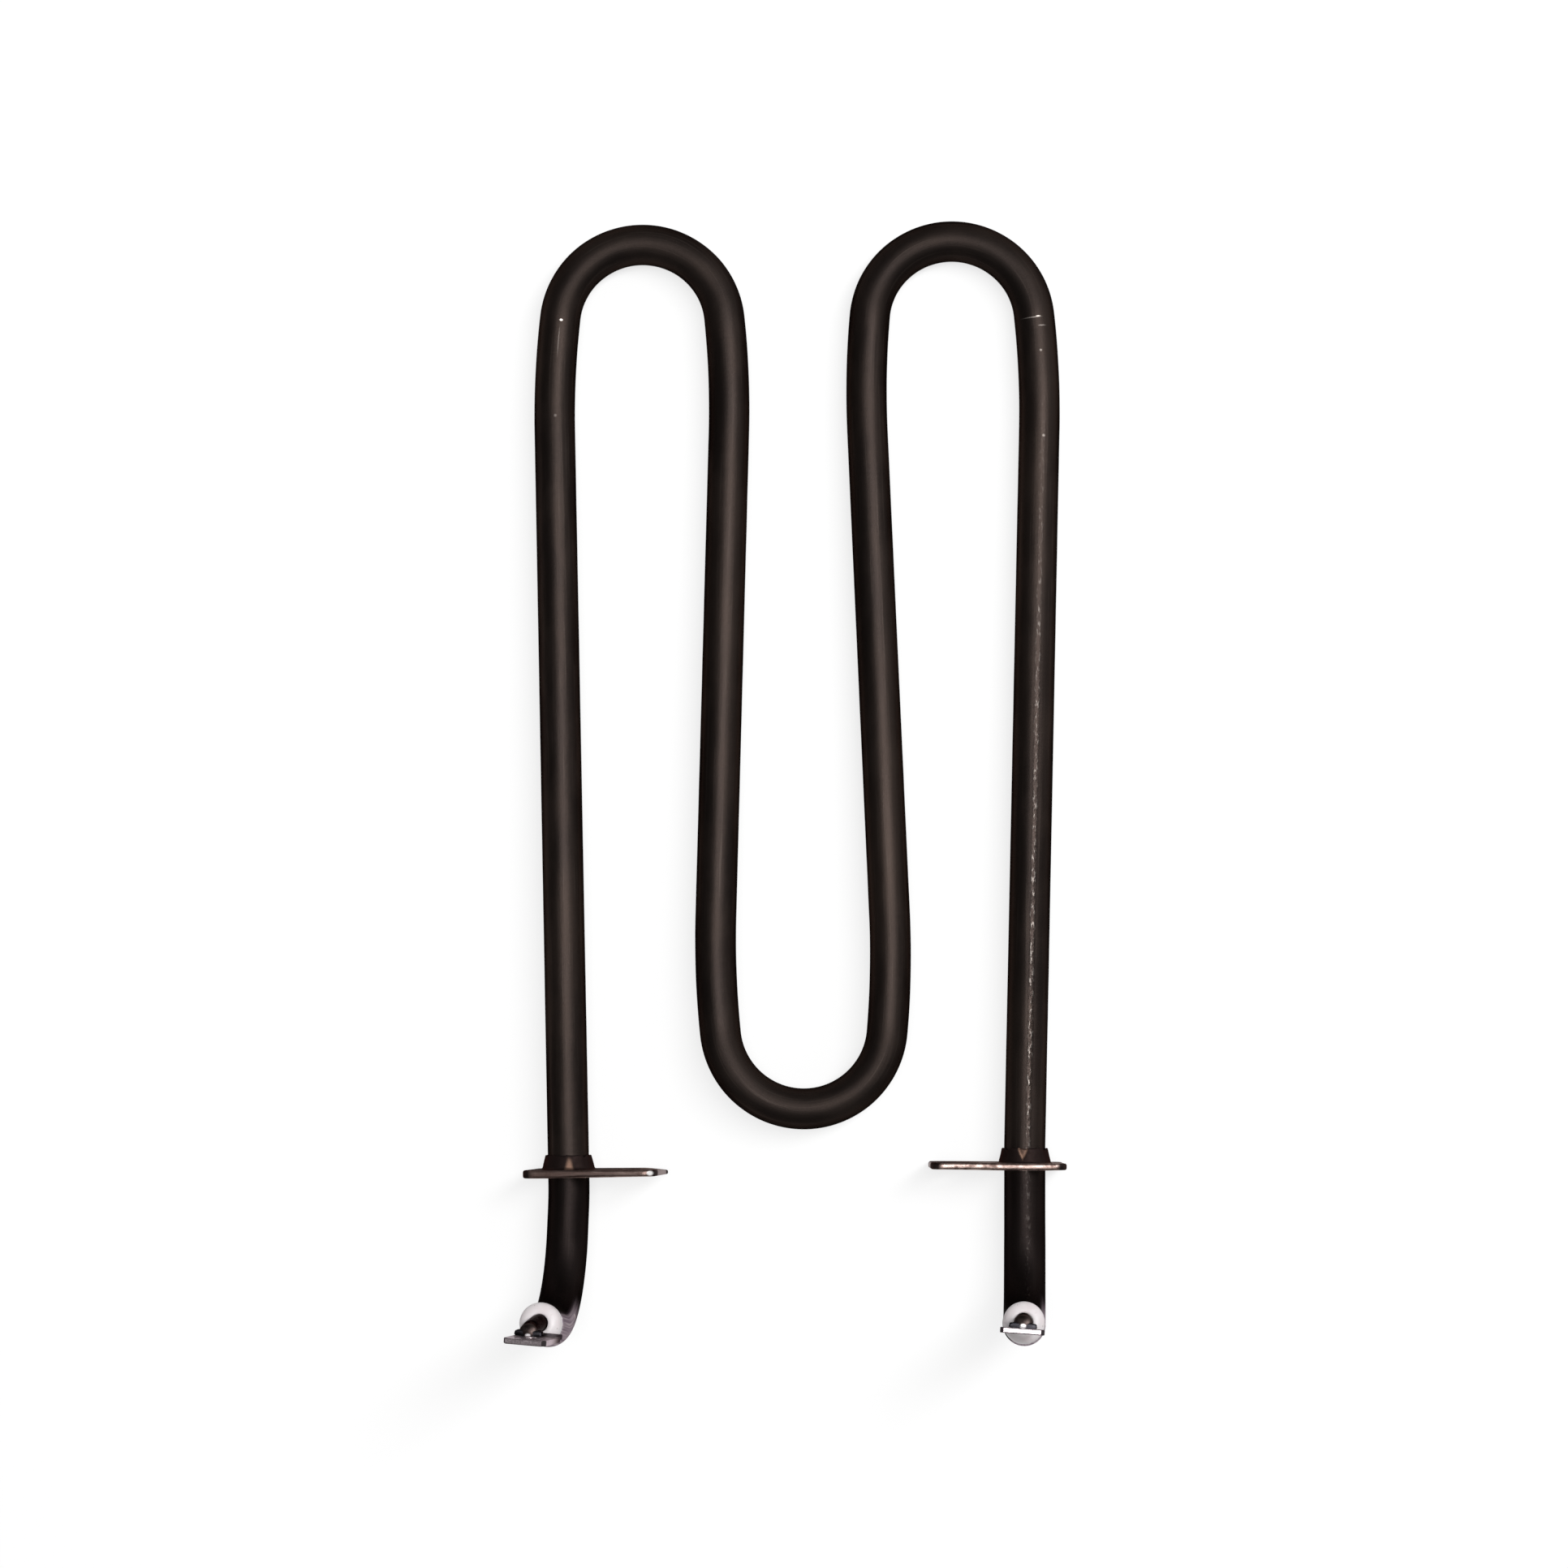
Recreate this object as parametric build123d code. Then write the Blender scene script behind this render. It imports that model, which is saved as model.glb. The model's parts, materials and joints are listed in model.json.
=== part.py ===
"""Tubular heating element bent to an M, with two pierced fixing flanges and two spade terminals.

The sheath is a bend table: straight runs and arcs followed by a moving frame. A frame's
z axis is the way the tube runs, and its x axis is the lift, away from the surface that the
element lies on. Lengths are in mm and angles in degrees.
"""
from build123d import *
from math import cos, radians, sin
import os

# ---- sheath and what is packed inside it
SHEATH_OD = 6.25
SHEATH_WALL = 0.55
PIN_D = 2.5
COIL_OD = 2.3
COLD_RUN = 12.0            # unheated length on the heated side of each flange

# ---- flat M: four legs between the flanges, joined by three return bends
LEG_LEAN = 1.34            # first leg's lean, away from the middle of the M
LEG_RUNS = (113.88, 74.3, 74.4, 113.35)
FORMER_RADIUS = 12.74      # every tight bend, on the tube's centreline
RETURN_ANGLES = (182.8, 183.95, 183.95)
EASE_RADIUS = 138.0        # the slack where the tube leaves the former
EASE_ANGLE = 7.5

# ---- cold ends: each turns a little outwards near its flange, then rises to its mouth
COLD_KINK = {"left": 3.6, "right": 1.2}
KINK_RADIUS = 60.0
KINK_FROM_FLANGE = {"left": 1.0, "right": -4.0}    # where it starts; negative is on the leg
FLANGE_TO_BEND = {"left": 9.0, "right": 9.8}
COLD_BEND_ANGLE = 96.5
COLD_BEND_ROLL = {"left": 6.1, "right": -4.1}      # outwards
FILL_IN_MOUTH = 0.5        # magnesia past the last bend, before the seal

# ---- ceramic bush, seal and pin at each mouth
SEAL_LENGTH = 2.0
BUSH_SPIGOT = 2.5
BUSH_HEAD = 3.0
BUSH_D = 6.1
BUSH_ROUND = 1.3
BUSH_BORE_GAP = 0.05
SPIGOT_GAP = 0.05
PIN_STAND = {"left": 1.2, "right": 2.4}    # pin between the bush and the tab
PIN_BEND_RADIUS = 5.0
PIN_BEND = {"left": 12.1, "right": 2.5}    # each pin is bent back upright with its tab
PIN_ON_TAB = 6.8
PIN_NOSE = 0.4

# ---- spade tabs, 6.3 x 0.8
TAB_WIDTH = 6.3
TAB_THICKNESS = 0.8
TAB_BLADE = 8.0
TAB_NECK_WIDTH = 4.2
TAB_NECK = 4.6
TAB_TIP = (0.5, 1.0)       # corner chamfer across and along the blade
TAB_BEVEL = 0.2
TAB_HOLE_D = 1.65
TAB_HOLE_FROM_TIP = 4.0
WELD_SINK = 0.25           # the pin's flat, where it is welded to the tab
FLAT_LEAD = 0.6            # the flat starts this far before the tab
TAB_TWIST = {"left": 4.5, "right": 0.4}
TAB_OFFSET = {"left": 1.75, "right": 0.0}  # each tab is welded this far inwards of its pin,
TAB_SKEW = {"left": 5.7, "right": 0.0}     # leans this much outwards in its own plane
TAB_LEAN = {"left": 4.7, "right": 0.0}     # and this much less than its pin out of that plane

# ---- fixing flanges
PLATE_THICKNESS = 1.0
PLATE_DEPTH = 12.0
PLATE_OUT = 6.05           # leg axis to the plate's outer end
PLATE_IN = 14.45           # leg axis to the plate's inner end
PLATE_CORNER = 1.75
PLATE_EDGE_ROUND = 0.3
FIX_HOLE_D = 4.3
FIX_HOLE_AT = 9.4          # leg axis to the fixing hole
COLLAR_HEIGHT = 2.1
COLLAR_BASE_D = 7.8
COLLAR_TOP_D = 7.05
COLLAR_SPLITS = 6
COLLAR_SPLIT_WIDTH = 1.1
COLLAR_SPLIT_DEPTH = 1.4
SPLIT_OVERCUT = 1.0        # how far a split's cutter stands above the lip
PIERCE_ROUND = 0.5         # the punch's entry round, on the plate's cold face
FLANGE_GRIP = 0.02         # radial gap between the collar and the sheath
FLANGE_TWIST = {"left": 10.0, "right": 0.0}
FLANGE_LEAN = {"left": 0.8, "right": 0.0}   # off square to its leg, the inner arm towards the terminals

SHEATH_ID = SHEATH_OD - 2 * SHEATH_WALL
MOUTH_RUN = FILL_IN_MOUTH + SEAL_LENGTH + BUSH_SPIGOT
INWARD = {"left": 1, "right": -1}
QUARTER_TURN, HALF_TURN, FULL_TURN = 90.0, 180.0, 360.0


def run(length):
    """A straight move."""
    return ("run", length)


def bend(radius, angle, roll):
    """An arc towards the lift, turned by roll about the tube."""
    return ("bend", radius, angle, roll)


def after(here, move, share=1.0):
    """The frame reached after a share of one move."""
    if move[0] == "run":
        return here * Pos(0, 0, move[1] * share)
    _, radius, angle, roll = move
    swing = Pos(radius, 0, 0) * Rot(0, angle * share, 0) * Pos(-radius, 0, 0)
    return here * Rot(0, 0, roll) * swing * Rot(0, 0, -roll)


def reach(here, moves):
    """The frame at the end of a list of moves."""
    for move in moves:
        here = after(here, move)
    return here


def trace(here, moves):
    """The edges of a list of moves, and the frame at their end."""
    edges = []
    for move in moves:
        middle, there = after(here, move, 0.5), after(here, move)
        if move[0] == "run":
            edges.append(Line(here.position, there.position))
        else:
            edges.append(ThreePointArc(here.position, middle.position, there.position))
        here = there
    return edges, here


def turned_back(here):
    """The same place, facing the other way, with the same lift."""
    return here * Rot(HALF_TURN, 0, 0)


def return_bend(angle, roll):
    """A hairpin: the former's arc between two slack easings."""
    ease = bend(EASE_RADIUS, EASE_ANGLE, roll)
    return [ease, bend(FORMER_RADIUS, angle - 2 * EASE_ANGLE, roll), ease]


def heated_moves(first_run, last_run):
    """The M between two stations on its outer legs."""
    first, second, third = RETURN_ANGLES
    return [
        run(first_run),
        *return_bend(first, QUARTER_TURN),
        run(LEG_RUNS[1]),
        *return_bend(second, -QUARTER_TURN),
        run(LEG_RUNS[2]),
        *return_bend(third, QUARTER_TURN),
        run(last_run),
    ]


def cold_moves(side, last_run):
    """From a coil end, through the flange and the rising bend, to the mouth."""
    outward = INWARD[side]
    to_kink = COLD_RUN + KINK_FROM_FLANGE[side]
    past_kink = COLD_RUN + FLANGE_TO_BEND[side] - to_kink - kink_length(side)
    return [
        run(to_kink),
        bend(KINK_RADIUS, COLD_KINK[side], QUARTER_TURN * outward),
        run(past_kink),
        bend(FORMER_RADIUS, COLD_BEND_ANGLE, COLD_BEND_ROLL[side] * outward),
        run(last_run),
    ]


def kink_length(side):
    """The tube taken up by a cold end's kink."""
    return KINK_RADIUS * radians(COLD_KINK[side])


def flange_station(coil_end, side):
    """The frame at a flange's cold face; a kink that starts before it is already turned."""
    if KINK_FROM_FLANGE[side] > 0:
        return coil_end * Pos(0, 0, COLD_RUN)
    to_kink, kink = cold_moves(side, 0)[:2]
    return reach(coil_end, [to_kink, kink, run(-KINK_FROM_FLANGE[side] - kink_length(side))])


def ring(outer_d, inner_d):
    """A flat ring, or a disc if there is no inner diameter."""
    return Circle(outer_d / 2) - Circle(inner_d / 2) if inner_d else Circle(outer_d / 2)


def swept(section, edges, start):
    """A section carried along edges from the frame that they start at."""
    return sweep(Plane(start) * section, path=Wire(edges))


def place_stations():
    """The frames that the pieces are built on: flanges, coil ends and mouths."""
    heading = (-sin(radians(LEG_LEAN)), cos(radians(LEG_LEAN)), 0)
    left = Plane(origin=(0, 0, 0), x_dir=(0, 0, 1), z_dir=heading).location
    right = reach(left, heated_moves(LEG_RUNS[0], LEG_RUNS[3]))
    legs = {"left": turned_back(left), "right": right}
    coil_end = {side: here * Pos(0, 0, -COLD_RUN) for side, here in legs.items()}
    flange = {side: flange_station(here, side) for side, here in coil_end.items()}
    mouth = {side: reach(here, cold_moves(side, MOUTH_RUN)) for side, here in coil_end.items()}
    return flange, coil_end, mouth


def make_sheath(coil_end):
    """One tube from mouth to mouth."""
    left, start = trace(coil_end["left"], cold_moves("left", MOUTH_RUN))
    right, _ = trace(coil_end["right"], cold_moves("right", MOUTH_RUN))
    edges = left[::-1] + make_heated_edges(coil_end) + right
    return swept(ring(SHEATH_OD, SHEATH_ID), edges, start)


def make_heated_edges(coil_end):
    """The centreline from one coil end to the other."""
    moves = heated_moves(LEG_RUNS[0] - COLD_RUN, LEG_RUNS[3] - COLD_RUN)
    return trace(turned_back(coil_end["left"]), moves)[0]


def make_filling(coil_end):
    """Compacted magnesia, close round the coil and the two pins."""
    filling = swept(ring(SHEATH_ID, COIL_OD), make_heated_edges(coil_end), coil_end["left"])
    for side, start in coil_end.items():
        edges, _ = trace(start, cold_moves(side, FILL_IN_MOUTH))
        filling += swept(ring(SHEATH_ID, PIN_D), edges, start)
    return filling


def make_coil(coil_end):
    """The resistance coil's envelope."""
    return swept(ring(COIL_OD, 0), make_heated_edges(coil_end), coil_end["left"])


def free_pin_moves(side):
    """From the mouth, through the bush and a small bend, to where the tab begins."""
    bend_length = PIN_BEND_RADIUS * radians(PIN_BEND[side])
    straight = BUSH_HEAD + PIN_STAND[side] - bend_length
    return [run(straight), bend(PIN_BEND_RADIUS, PIN_BEND[side], HALF_TURN)]


def tab_frame(mouth, side):
    """A frame on the pin's axis where the tab begins, turned with the tab."""
    return reach(mouth, free_pin_moves(side)) * Rot(0, 0, TAB_TWIST[side])


def weld_frame(mouth, side):
    """The same frame, leaning with the tab about the middle of the weld."""
    weld = Pos(WELD_SINK - PIN_D / 2, 0, PIN_ON_TAB / 2)
    return tab_frame(mouth, side) * weld * Rot(0, TAB_LEAN[side], 0) * weld.inverse()


def blade_frame(mouth, side):
    """The tab's own frame: off the pin's axis, and leaning in the tab's plane."""
    offset, skew = TAB_OFFSET[side] * INWARD[side], TAB_SKEW[side] * INWARD[side]
    return weld_frame(mouth, side) * Pos(0, -offset, 0) * Rot(-skew, 0, 0)


def make_pin(coil_end, mouth, side):
    """A terminal pin from the coil's end, round the bend and out through the bush."""
    edges, _ = trace(coil_end, cold_moves(side, MOUTH_RUN) + free_pin_moves(side))
    nose = Cylinder(PIN_D / 2, PIN_ON_TAB, align=(Align.CENTER, Align.CENTER, Align.MIN))
    nose = fillet(nose.edges().sort_by(Axis.Z)[-1], PIN_NOSE)
    pin = swept(ring(PIN_D, 0), edges, coil_end) + tab_frame(mouth, side) * nose
    flat = Box(PIN_D, 2 * PIN_D, FLAT_LEAD + 2 * PIN_ON_TAB, align=(Align.MAX, Align.CENTER, Align.MIN))
    return pin - weld_frame(mouth, side) * Pos(WELD_SINK - PIN_D / 2, 0, -FLAT_LEAD) * flat


def make_seal(mouth):
    """The moisture seal behind the bush."""
    seal = extrude(ring(SHEATH_ID, PIN_D), SEAL_LENGTH)
    return mouth * Pos(0, 0, -BUSH_SPIGOT - SEAL_LENGTH) * seal


def make_bush(mouth):
    """A ceramic bush: a spigot in the tube and a domed head on its end."""
    spigot = Pos(0, 0, -BUSH_SPIGOT) * Cylinder(
        SHEATH_ID / 2 - SPIGOT_GAP, BUSH_SPIGOT, align=(Align.CENTER, Align.CENTER, Align.MIN))
    head = Cylinder(BUSH_D / 2, BUSH_HEAD, align=(Align.CENTER, Align.CENTER, Align.MIN))
    head = fillet(head.edges().sort_by(Axis.Z)[-1], BUSH_ROUND)
    bore = Cylinder(PIN_D / 2 + BUSH_BORE_GAP, 2 * (BUSH_SPIGOT + BUSH_HEAD))
    return mouth * (spigot + head - bore)


def make_tab(mouth, side):
    """A spade tab whose narrow neck is welded under the pin."""
    half, neck = TAB_WIDTH / 2, TAB_NECK_WIDTH / 2
    tip_in, tip_back = TAB_TIP
    top = TAB_NECK + TAB_BLADE
    shoulder = TAB_NECK - (half - neck)
    right = [(neck, 0), (neck, shoulder), (half, TAB_NECK), (half, top - tip_back), (half - tip_in, top)]
    left = [(-across, along) for across, along in reversed(right)]
    outline = Polygon(*right, *left, align=None)
    outline -= Pos(0, top - TAB_HOLE_FROM_TIP) * Circle(TAB_HOLE_D / 2)
    blade = extrude(Plane.YZ * outline, TAB_THICKNESS)
    tip = blade.edges().group_by(Axis.Z)[-1].filter_by(Axis.Y)
    blade = chamfer(tip, TAB_BEVEL)
    face = PIN_D / 2 - WELD_SINK
    return blade_frame(mouth, side) * Pos(-face - TAB_THICKNESS, 0, 0) * blade


def make_collar_splits():
    """V-shaped tears in the collar's lip, where the pierced metal opened."""
    lip = PLATE_THICKNESS + COLLAR_HEIGHT
    foot, top = lip - COLLAR_SPLIT_DEPTH, lip + SPLIT_OVERCUT
    half = COLLAR_SPLIT_WIDTH / 2 * (top - foot) / COLLAR_SPLIT_DEPTH
    vee = Plane.XZ * Polygon((0, foot), (half, top), (-half, top), align=None)
    cutter = extrude(vee, -COLLAR_BASE_D)
    return [Rot(0, 0, FULL_TURN * turn / COLLAR_SPLITS) * cutter for turn in range(COLLAR_SPLITS)]


def make_flange(side):
    """A flange in its own frame: collar up +Z, inner arm along +X, cold face at z = 0."""
    length = PLATE_OUT + PLATE_IN
    plate = Pos((PLATE_IN - PLATE_OUT) / 2, 0) * RectangleRounded(length, PLATE_DEPTH, PLATE_CORNER)
    plate = extrude(plate, PLATE_THICKNESS)
    plate = fillet(plate.edges().group_by(Axis.Z)[0], PLATE_EDGE_ROUND)
    collar = Pos(0, 0, PLATE_THICKNESS) * Cone(
        COLLAR_BASE_D / 2, COLLAR_TOP_D / 2, COLLAR_HEIGHT, align=(Align.CENTER, Align.CENTER, Align.MIN))
    flange = plate + collar
    for cutter in make_collar_splits():
        flange -= cutter
    flange -= Rot(0, -FLANGE_LEAN[side], 0) * Cylinder(SHEATH_OD / 2 + FLANGE_GRIP, 4 * PLATE_DEPTH)
    cold_face = flange.faces().sort_by(Axis.Z)[0]
    flange = fillet(cold_face.inner_wires()[0].edges(), PIERCE_ROUND)
    return flange - Pos(FIX_HOLE_AT, 0) * Cylinder(FIX_HOLE_D / 2, 4 * PLATE_THICKNESS)


def flange_frame(flange, side):
    """The flange's own frame: z up the leg to the heated side, x along the inner arm."""
    inner_arm = (QUARTER_TURN - FLANGE_TWIST[side]) * INWARD[side]
    return turned_back(flange) * Rot(0, 0, inner_arm) * Rot(0, FLANGE_LEAN[side], 0)


def low_point(frame):
    """The lowest point of a flange's plate, on one of its rounded corners."""
    half = PLATE_DEPTH / 2 - PLATE_CORNER
    ends = (PLATE_CORNER - PLATE_OUT, PLATE_IN - PLATE_CORNER)
    corners = [(frame * Pos(end, side * half, PLATE_THICKNESS / 2)).position
               for end in ends for side in (-1, 1)]
    return min(corners, key=lambda corner: corner.Z) - Vector(0, 0, PLATE_CORNER)


def crest_points(flange):
    """The undersides of the two return bends at the far end from the flanges."""
    start = turned_back(flange["left"])
    moves = heated_moves(LEG_RUNS[0], LEG_RUNS[3])
    crests = []
    for count in (2, 10):
        top = after(reach(start, moves[:count]), moves[count], 0.5).position
        crests.append(top - Vector(0, 0, SHEATH_OD / 2))
    return crests


def rest_on_surface(flange):
    """The move that lays the element down on both flanges and one far bend."""
    left, right = (low_point(flange_frame(flange[side], side)) for side in ("left", "right"))
    across = right - left
    slope = across.Z / across.X
    crest = min(crest_points(flange), key=lambda point: point.Z - slope * (point.X - left.X))
    surface = Plane(origin=left, x_dir=(1, 0, 0), z_dir=across.cross(crest - left))
    return surface.location.inverse()


def make_nodes():
    """Every piece under its node's name, in the flat M's frame."""
    flange, coil_end, mouth = place_stations()
    nodes = {
        "sheath": make_sheath(coil_end),
        "magnesia_filling": make_filling(coil_end),
        "resistance_coil": make_coil(coil_end),
    }
    for side in INWARD:
        nodes[f"{side}_terminal_pin"] = make_pin(coil_end[side], mouth[side], side)
        nodes[f"{side}_end_seal"] = make_seal(mouth[side])
        nodes[f"{side}_ceramic_bush"] = make_bush(mouth[side])
        nodes[f"{side}_spade_tab"] = make_tab(mouth[side], side)
        nodes[f"{side}_flange"] = flange_frame(flange[side], side) * make_flange(side)
    return nodes, flange, mouth


def main():
    nodes, flange, mouth = make_nodes()
    down = rest_on_surface(flange)
    nodes = {name: down * solid for name, solid in nodes.items()}
    box = Compound(children=[Compound(solid.solids()) for solid in nodes.values()]).bounding_box()
    centre = Pos(-box.center().X, -box.center().Y, -box.min.Z)
    os.makedirs("parts", exist_ok=True)
    for name, solid in nodes.items():
        export_step(centre * solid, f"parts/{name}.step")
    print("size", box.size)
    for side in INWARD:
        hole = centre * down * flange_frame(flange[side], side) * Pos(FIX_HOLE_AT, 0, PLATE_THICKNESS / 2)
        out = (hole * Pos(0, 0, -1)).position - hole.position
        print(side, "fixing hole", hole.position, "axis", out)
        tip = centre * down * blade_frame(mouth[side], side) * Pos(0, 0, TAB_NECK + TAB_BLADE)
        print(side, "tab tip", tip.position, "axis", (tip * Pos(0, 0, 1)).position - tip.position)


main()
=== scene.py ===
"""Looks of a tubular heating element: its pieces in fine mesh, their materials, the light and the camera.

The pieces are worked out in mm in the flat M's own frame, where a frame's z axis is the way the
tube runs and its x axis is the lift away from the surface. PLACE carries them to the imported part.
"""
import json
from math import atan, atan2, cos, exp, pi, radians, sin

import bpy
from mathutils import Matrix, Vector, noise


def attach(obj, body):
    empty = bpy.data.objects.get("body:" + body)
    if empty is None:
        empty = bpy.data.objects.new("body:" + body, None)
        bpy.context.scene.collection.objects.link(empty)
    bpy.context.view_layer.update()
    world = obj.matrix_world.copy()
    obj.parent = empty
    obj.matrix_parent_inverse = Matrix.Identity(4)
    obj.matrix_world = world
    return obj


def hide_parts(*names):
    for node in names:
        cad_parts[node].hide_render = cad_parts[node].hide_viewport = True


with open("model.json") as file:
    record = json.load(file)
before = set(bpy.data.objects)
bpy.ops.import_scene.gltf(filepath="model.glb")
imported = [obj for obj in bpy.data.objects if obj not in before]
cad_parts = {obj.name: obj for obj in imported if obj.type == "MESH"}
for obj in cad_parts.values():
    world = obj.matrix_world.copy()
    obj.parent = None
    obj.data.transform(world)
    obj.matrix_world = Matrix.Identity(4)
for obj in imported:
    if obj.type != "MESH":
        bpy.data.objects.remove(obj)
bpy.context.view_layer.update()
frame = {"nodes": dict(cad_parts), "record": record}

MM = 0.001

# ---- the bend table of the sheath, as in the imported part
SHEATH_OD = 6.25
SHEATH_ID = 5.15
PIN_D = 2.5
COLD_RUN = 12.0
LEG_LEAN = 1.34
LEG_RUNS = (113.88, 74.3, 74.4, 113.35)
FORMER_RADIUS = 12.74
RETURN_ANGLES = (182.8, 183.95, 183.95)
EASE_RADIUS = 138.0
EASE_ANGLE = 7.5
COLD_KINK = {"left": 3.6, "right": 1.2}
KINK_RADIUS = 60.0
KINK_FROM_FLANGE = {"left": 1.0, "right": -4.0}
FLANGE_TO_BEND = {"left": 9.0, "right": 9.8}
COLD_BEND_ANGLE = 96.5
COLD_BEND_ROLL = {"left": 6.1, "right": -4.1}
MOUTH_RUN = 5.0

# ---- terminals
BUSH_SPIGOT = 2.5
BUSH_HEAD = 3.0
BUSH_D = 6.1
BUSH_ROUND = 1.3
BUSH_GAP = 0.05  # round the spigot, and round the pin in the bore
PIN_STAND = {"left": 1.2, "right": 2.4}
PIN_BEND_RADIUS = 5.0
PIN_BEND = {"left": 12.1, "right": 2.5}
PIN_ON_TAB = 6.8
TAB_WIDTH = 6.3
TAB_THICKNESS = 0.8
TAB_BLADE = 8.0
TAB_NECK_WIDTH = 4.2
TAB_NECK = 4.6
TAB_TIP = (0.5, 1.0)
TAB_HOLE_D = 1.65
TAB_HOLE_FROM_TIP = 4.0
WELD_SINK = 0.25
FLAT_LEAD = 0.6
TAB_TWIST = {"left": 4.5, "right": 0.4}
TAB_OFFSET = {"left": 1.75, "right": 0.0}
TAB_SKEW = {"left": 5.7, "right": 0.0}
TAB_LEAN = {"left": 4.7, "right": 0.0}

# ---- flanges
PLATE_THICKNESS = 1.0
PLATE_DEPTH = 12.0
PLATE_OUT = 6.05
PLATE_IN = 14.45
PLATE_CORNER = 1.75
FIX_HOLE_D = 4.3
FIX_HOLE_AT = 9.4
COLLAR_HEIGHT = 2.2
COLLAR_BASE_D = 7.8
COLLAR_TOP_D = 7.05
COLLAR_SPLITS = 6
PIERCE_ROUND = 0.5
FLANGE_GRIP = 0.02
FLANGE_TWIST = {"left": 10.0, "right": 0.0}
FLANGE_LEAN = {"left": 0.8, "right": 0.0}

# ---- what only the finer meshes have
BEND_OVAL = 0.006  # share by which a tight bend's section is oval
OVAL_BLEND = 3.0  # tube length over which a section turns oval
TUBE_WAVE = 0.012  # unevenness left by annealing and bending
WAVE_LENGTH = 5.0
RIM_ROUND = 0.2
RING_STEP = 0.6  # tube length between rings of the sheath's mesh
SHEATH_SIDES = 56
BORE_STEP = 3.0
BUSH_SIDES = 96
BUSH_CHAMFER = 0.2  # on the spigot's end
BUSH_FOOT_ROUND = 0.15  # where the head meets the tube's mouth
BUSH_WAIST = 0.8  # height of a ring between the foot and the dome
BUSH_BORE_ROUND = 0.22
BUSH_BORE_DEPTH = 0.24  # where the bore's round has ended, below the top
BUSH_SWELL = 0.025  # unevenness of the fired head
PLATE_EDGE_ROUND = 0.3
PLATE_DISH = {"left": 0.02, "right": 0.34}  # the plate is drawn down round its pierced hole
PLATE_DISH_RADIUS = 5.0
ARM_SAG = {"left": 0.22, "right": 0.0}  # the outer arm's cold face, drawn down by the punch
SAG_ALONG = (4.0, -2.0)  # it sets in between these places along the inner arm
CORNER_ROLL = {"left": 0.36, "right": 0.0}  # share of thickness lost at the far inner corner
ROLL_ALONG = (10.5, 14.5)  # the loss sets in along and across the plate
ROLL_ACROSS = (-5.0, 6.0)
ROLL_CENTRE = 0.15  # height above the cold face that the loss leaves in place
COLLAR_SEAT = 0.3  # the plate runs this far in under the collar's foot
COLLAR_FLARE = 0.2  # the collar's piece runs this far out through the plate
COLLAR_ROOT = 0.55
COLLAR_SIDES = 180
COLLAR_RINGS = 9
SPLIT_HALF_ANGLE = 9.0
SPLIT_SCATTER = 4.0  # degrees that a split strays from its even place
SPLIT_DEPTH = (0.35, 0.9, 1.2, 0.8, 0.35, 0.12)
LIP_RAGGED = 0.07
LIP_FOLD = 0.05
TAB_EDGE_ROUND = 0.14
SQUASH_LENGTH = 1.9  # the pin's end, pressed out to wings where it was welded
WING_WIDTH = 4.15
WING_HEIGHT = 0.85
WING_ROUND = 0.22
WING_SIDES = 48
WING_SQUARENESS = 0.4  # power of the wing's section; 1 is an ellipse
WING_TAPER = 0.1  # width lost towards its crest, per mm of height
WING_LUMP = 0.015
WING_SHORT = 0.05  # it ends this far before the pin does
WELD_BITE = 0.04  # it is sunk this far into the tab
PIN_SIDES = 32
SHAFT_STEP = 0.4
NOSE_DOME = 0.55
NOSE_SHIFT = 0.6  # the dome's top lies this far from the pin's axis, towards the tab
NOSE_SINK = 0.3  # how far the pressed end's crest is pushed towards the tab
NOSE_SPREAD = 0.08  # share by which it is wider

# ---- the torn metal and painted highlight on the collar's upper line; angles in degrees, heights as shares of the collar's
TEAR_AT = {"left": 14.0, "right": -8.0}  # from the upper line
TEAR_SINK = {"left": 0.0, "right": 0.1}  # how deep it lies, in mm
PATCH_FOOT_HALF = 13.0  # left: a soft patch of painted highlight, half its width at the foot, in degrees
PATCH_LIP_HALF = 6.0
PATCH_FADE = 9.0
PATCH_HEIGHT = (0.95, 0.45)
PATCH_STRENGTH = 0.7
VEE_FOOT = 0.22  # right: a torn V painted as a highlight, whose two strokes start here
VEE_HALF = 19.0  # its half angle, per collar height above its foot
VEE_EDGE = 2.5
VEE_STROKE = (9.0, 6.0)  # a stroke fades out between these angles inside the V's edge
VEE_STRENGTH = (0.9, 0.5)  # of the stroke before and after its middle
VEE_FILL = 0.3

INWARD = {"left": 1, "right": -1}
SEED = {"left": 4, "right": 5}  # sets the two sides' unevenness apart
QUARTER_TURN, HALF_TURN, FULL_TURN = 90.0, 180.0, 360.0


# ---------- frames along the tube
def run(length):
    """A straight move."""
    return ("run", length)


def bend(radius, angle, roll):
    """An arc towards the lift, turned by roll about the tube."""
    return ("bend", radius, angle, roll)


def turned(angle, axis):
    """A turn about one axis, in degrees."""
    return Matrix.Rotation(radians(angle), 4, axis)


def shifted(x, y, z):
    """A move along the three axes."""
    return Matrix.Translation((x, y, z))


def after(here, move, share=1.0):
    """The frame reached after a share of one move."""
    if move[0] == "run":
        return here @ shifted(0, 0, move[1] * share)
    _, radius, angle, roll = move
    swing = shifted(radius, 0, 0) @ turned(angle * share, "Y") @ shifted(-radius, 0, 0)
    return here @ turned(roll, "Z") @ swing @ turned(-roll, "Z")


def reach(here, moves):
    """The frame at the end of a list of moves."""
    for move in moves:
        here = after(here, move)
    return here


def move_length(move):
    """The tube that one move takes up."""
    return move[1] if move[0] == "run" else move[1] * radians(move[2])


def turned_back(here):
    """The same place, facing the other way, with the same lift."""
    return here @ turned(HALF_TURN, "X")


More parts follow.
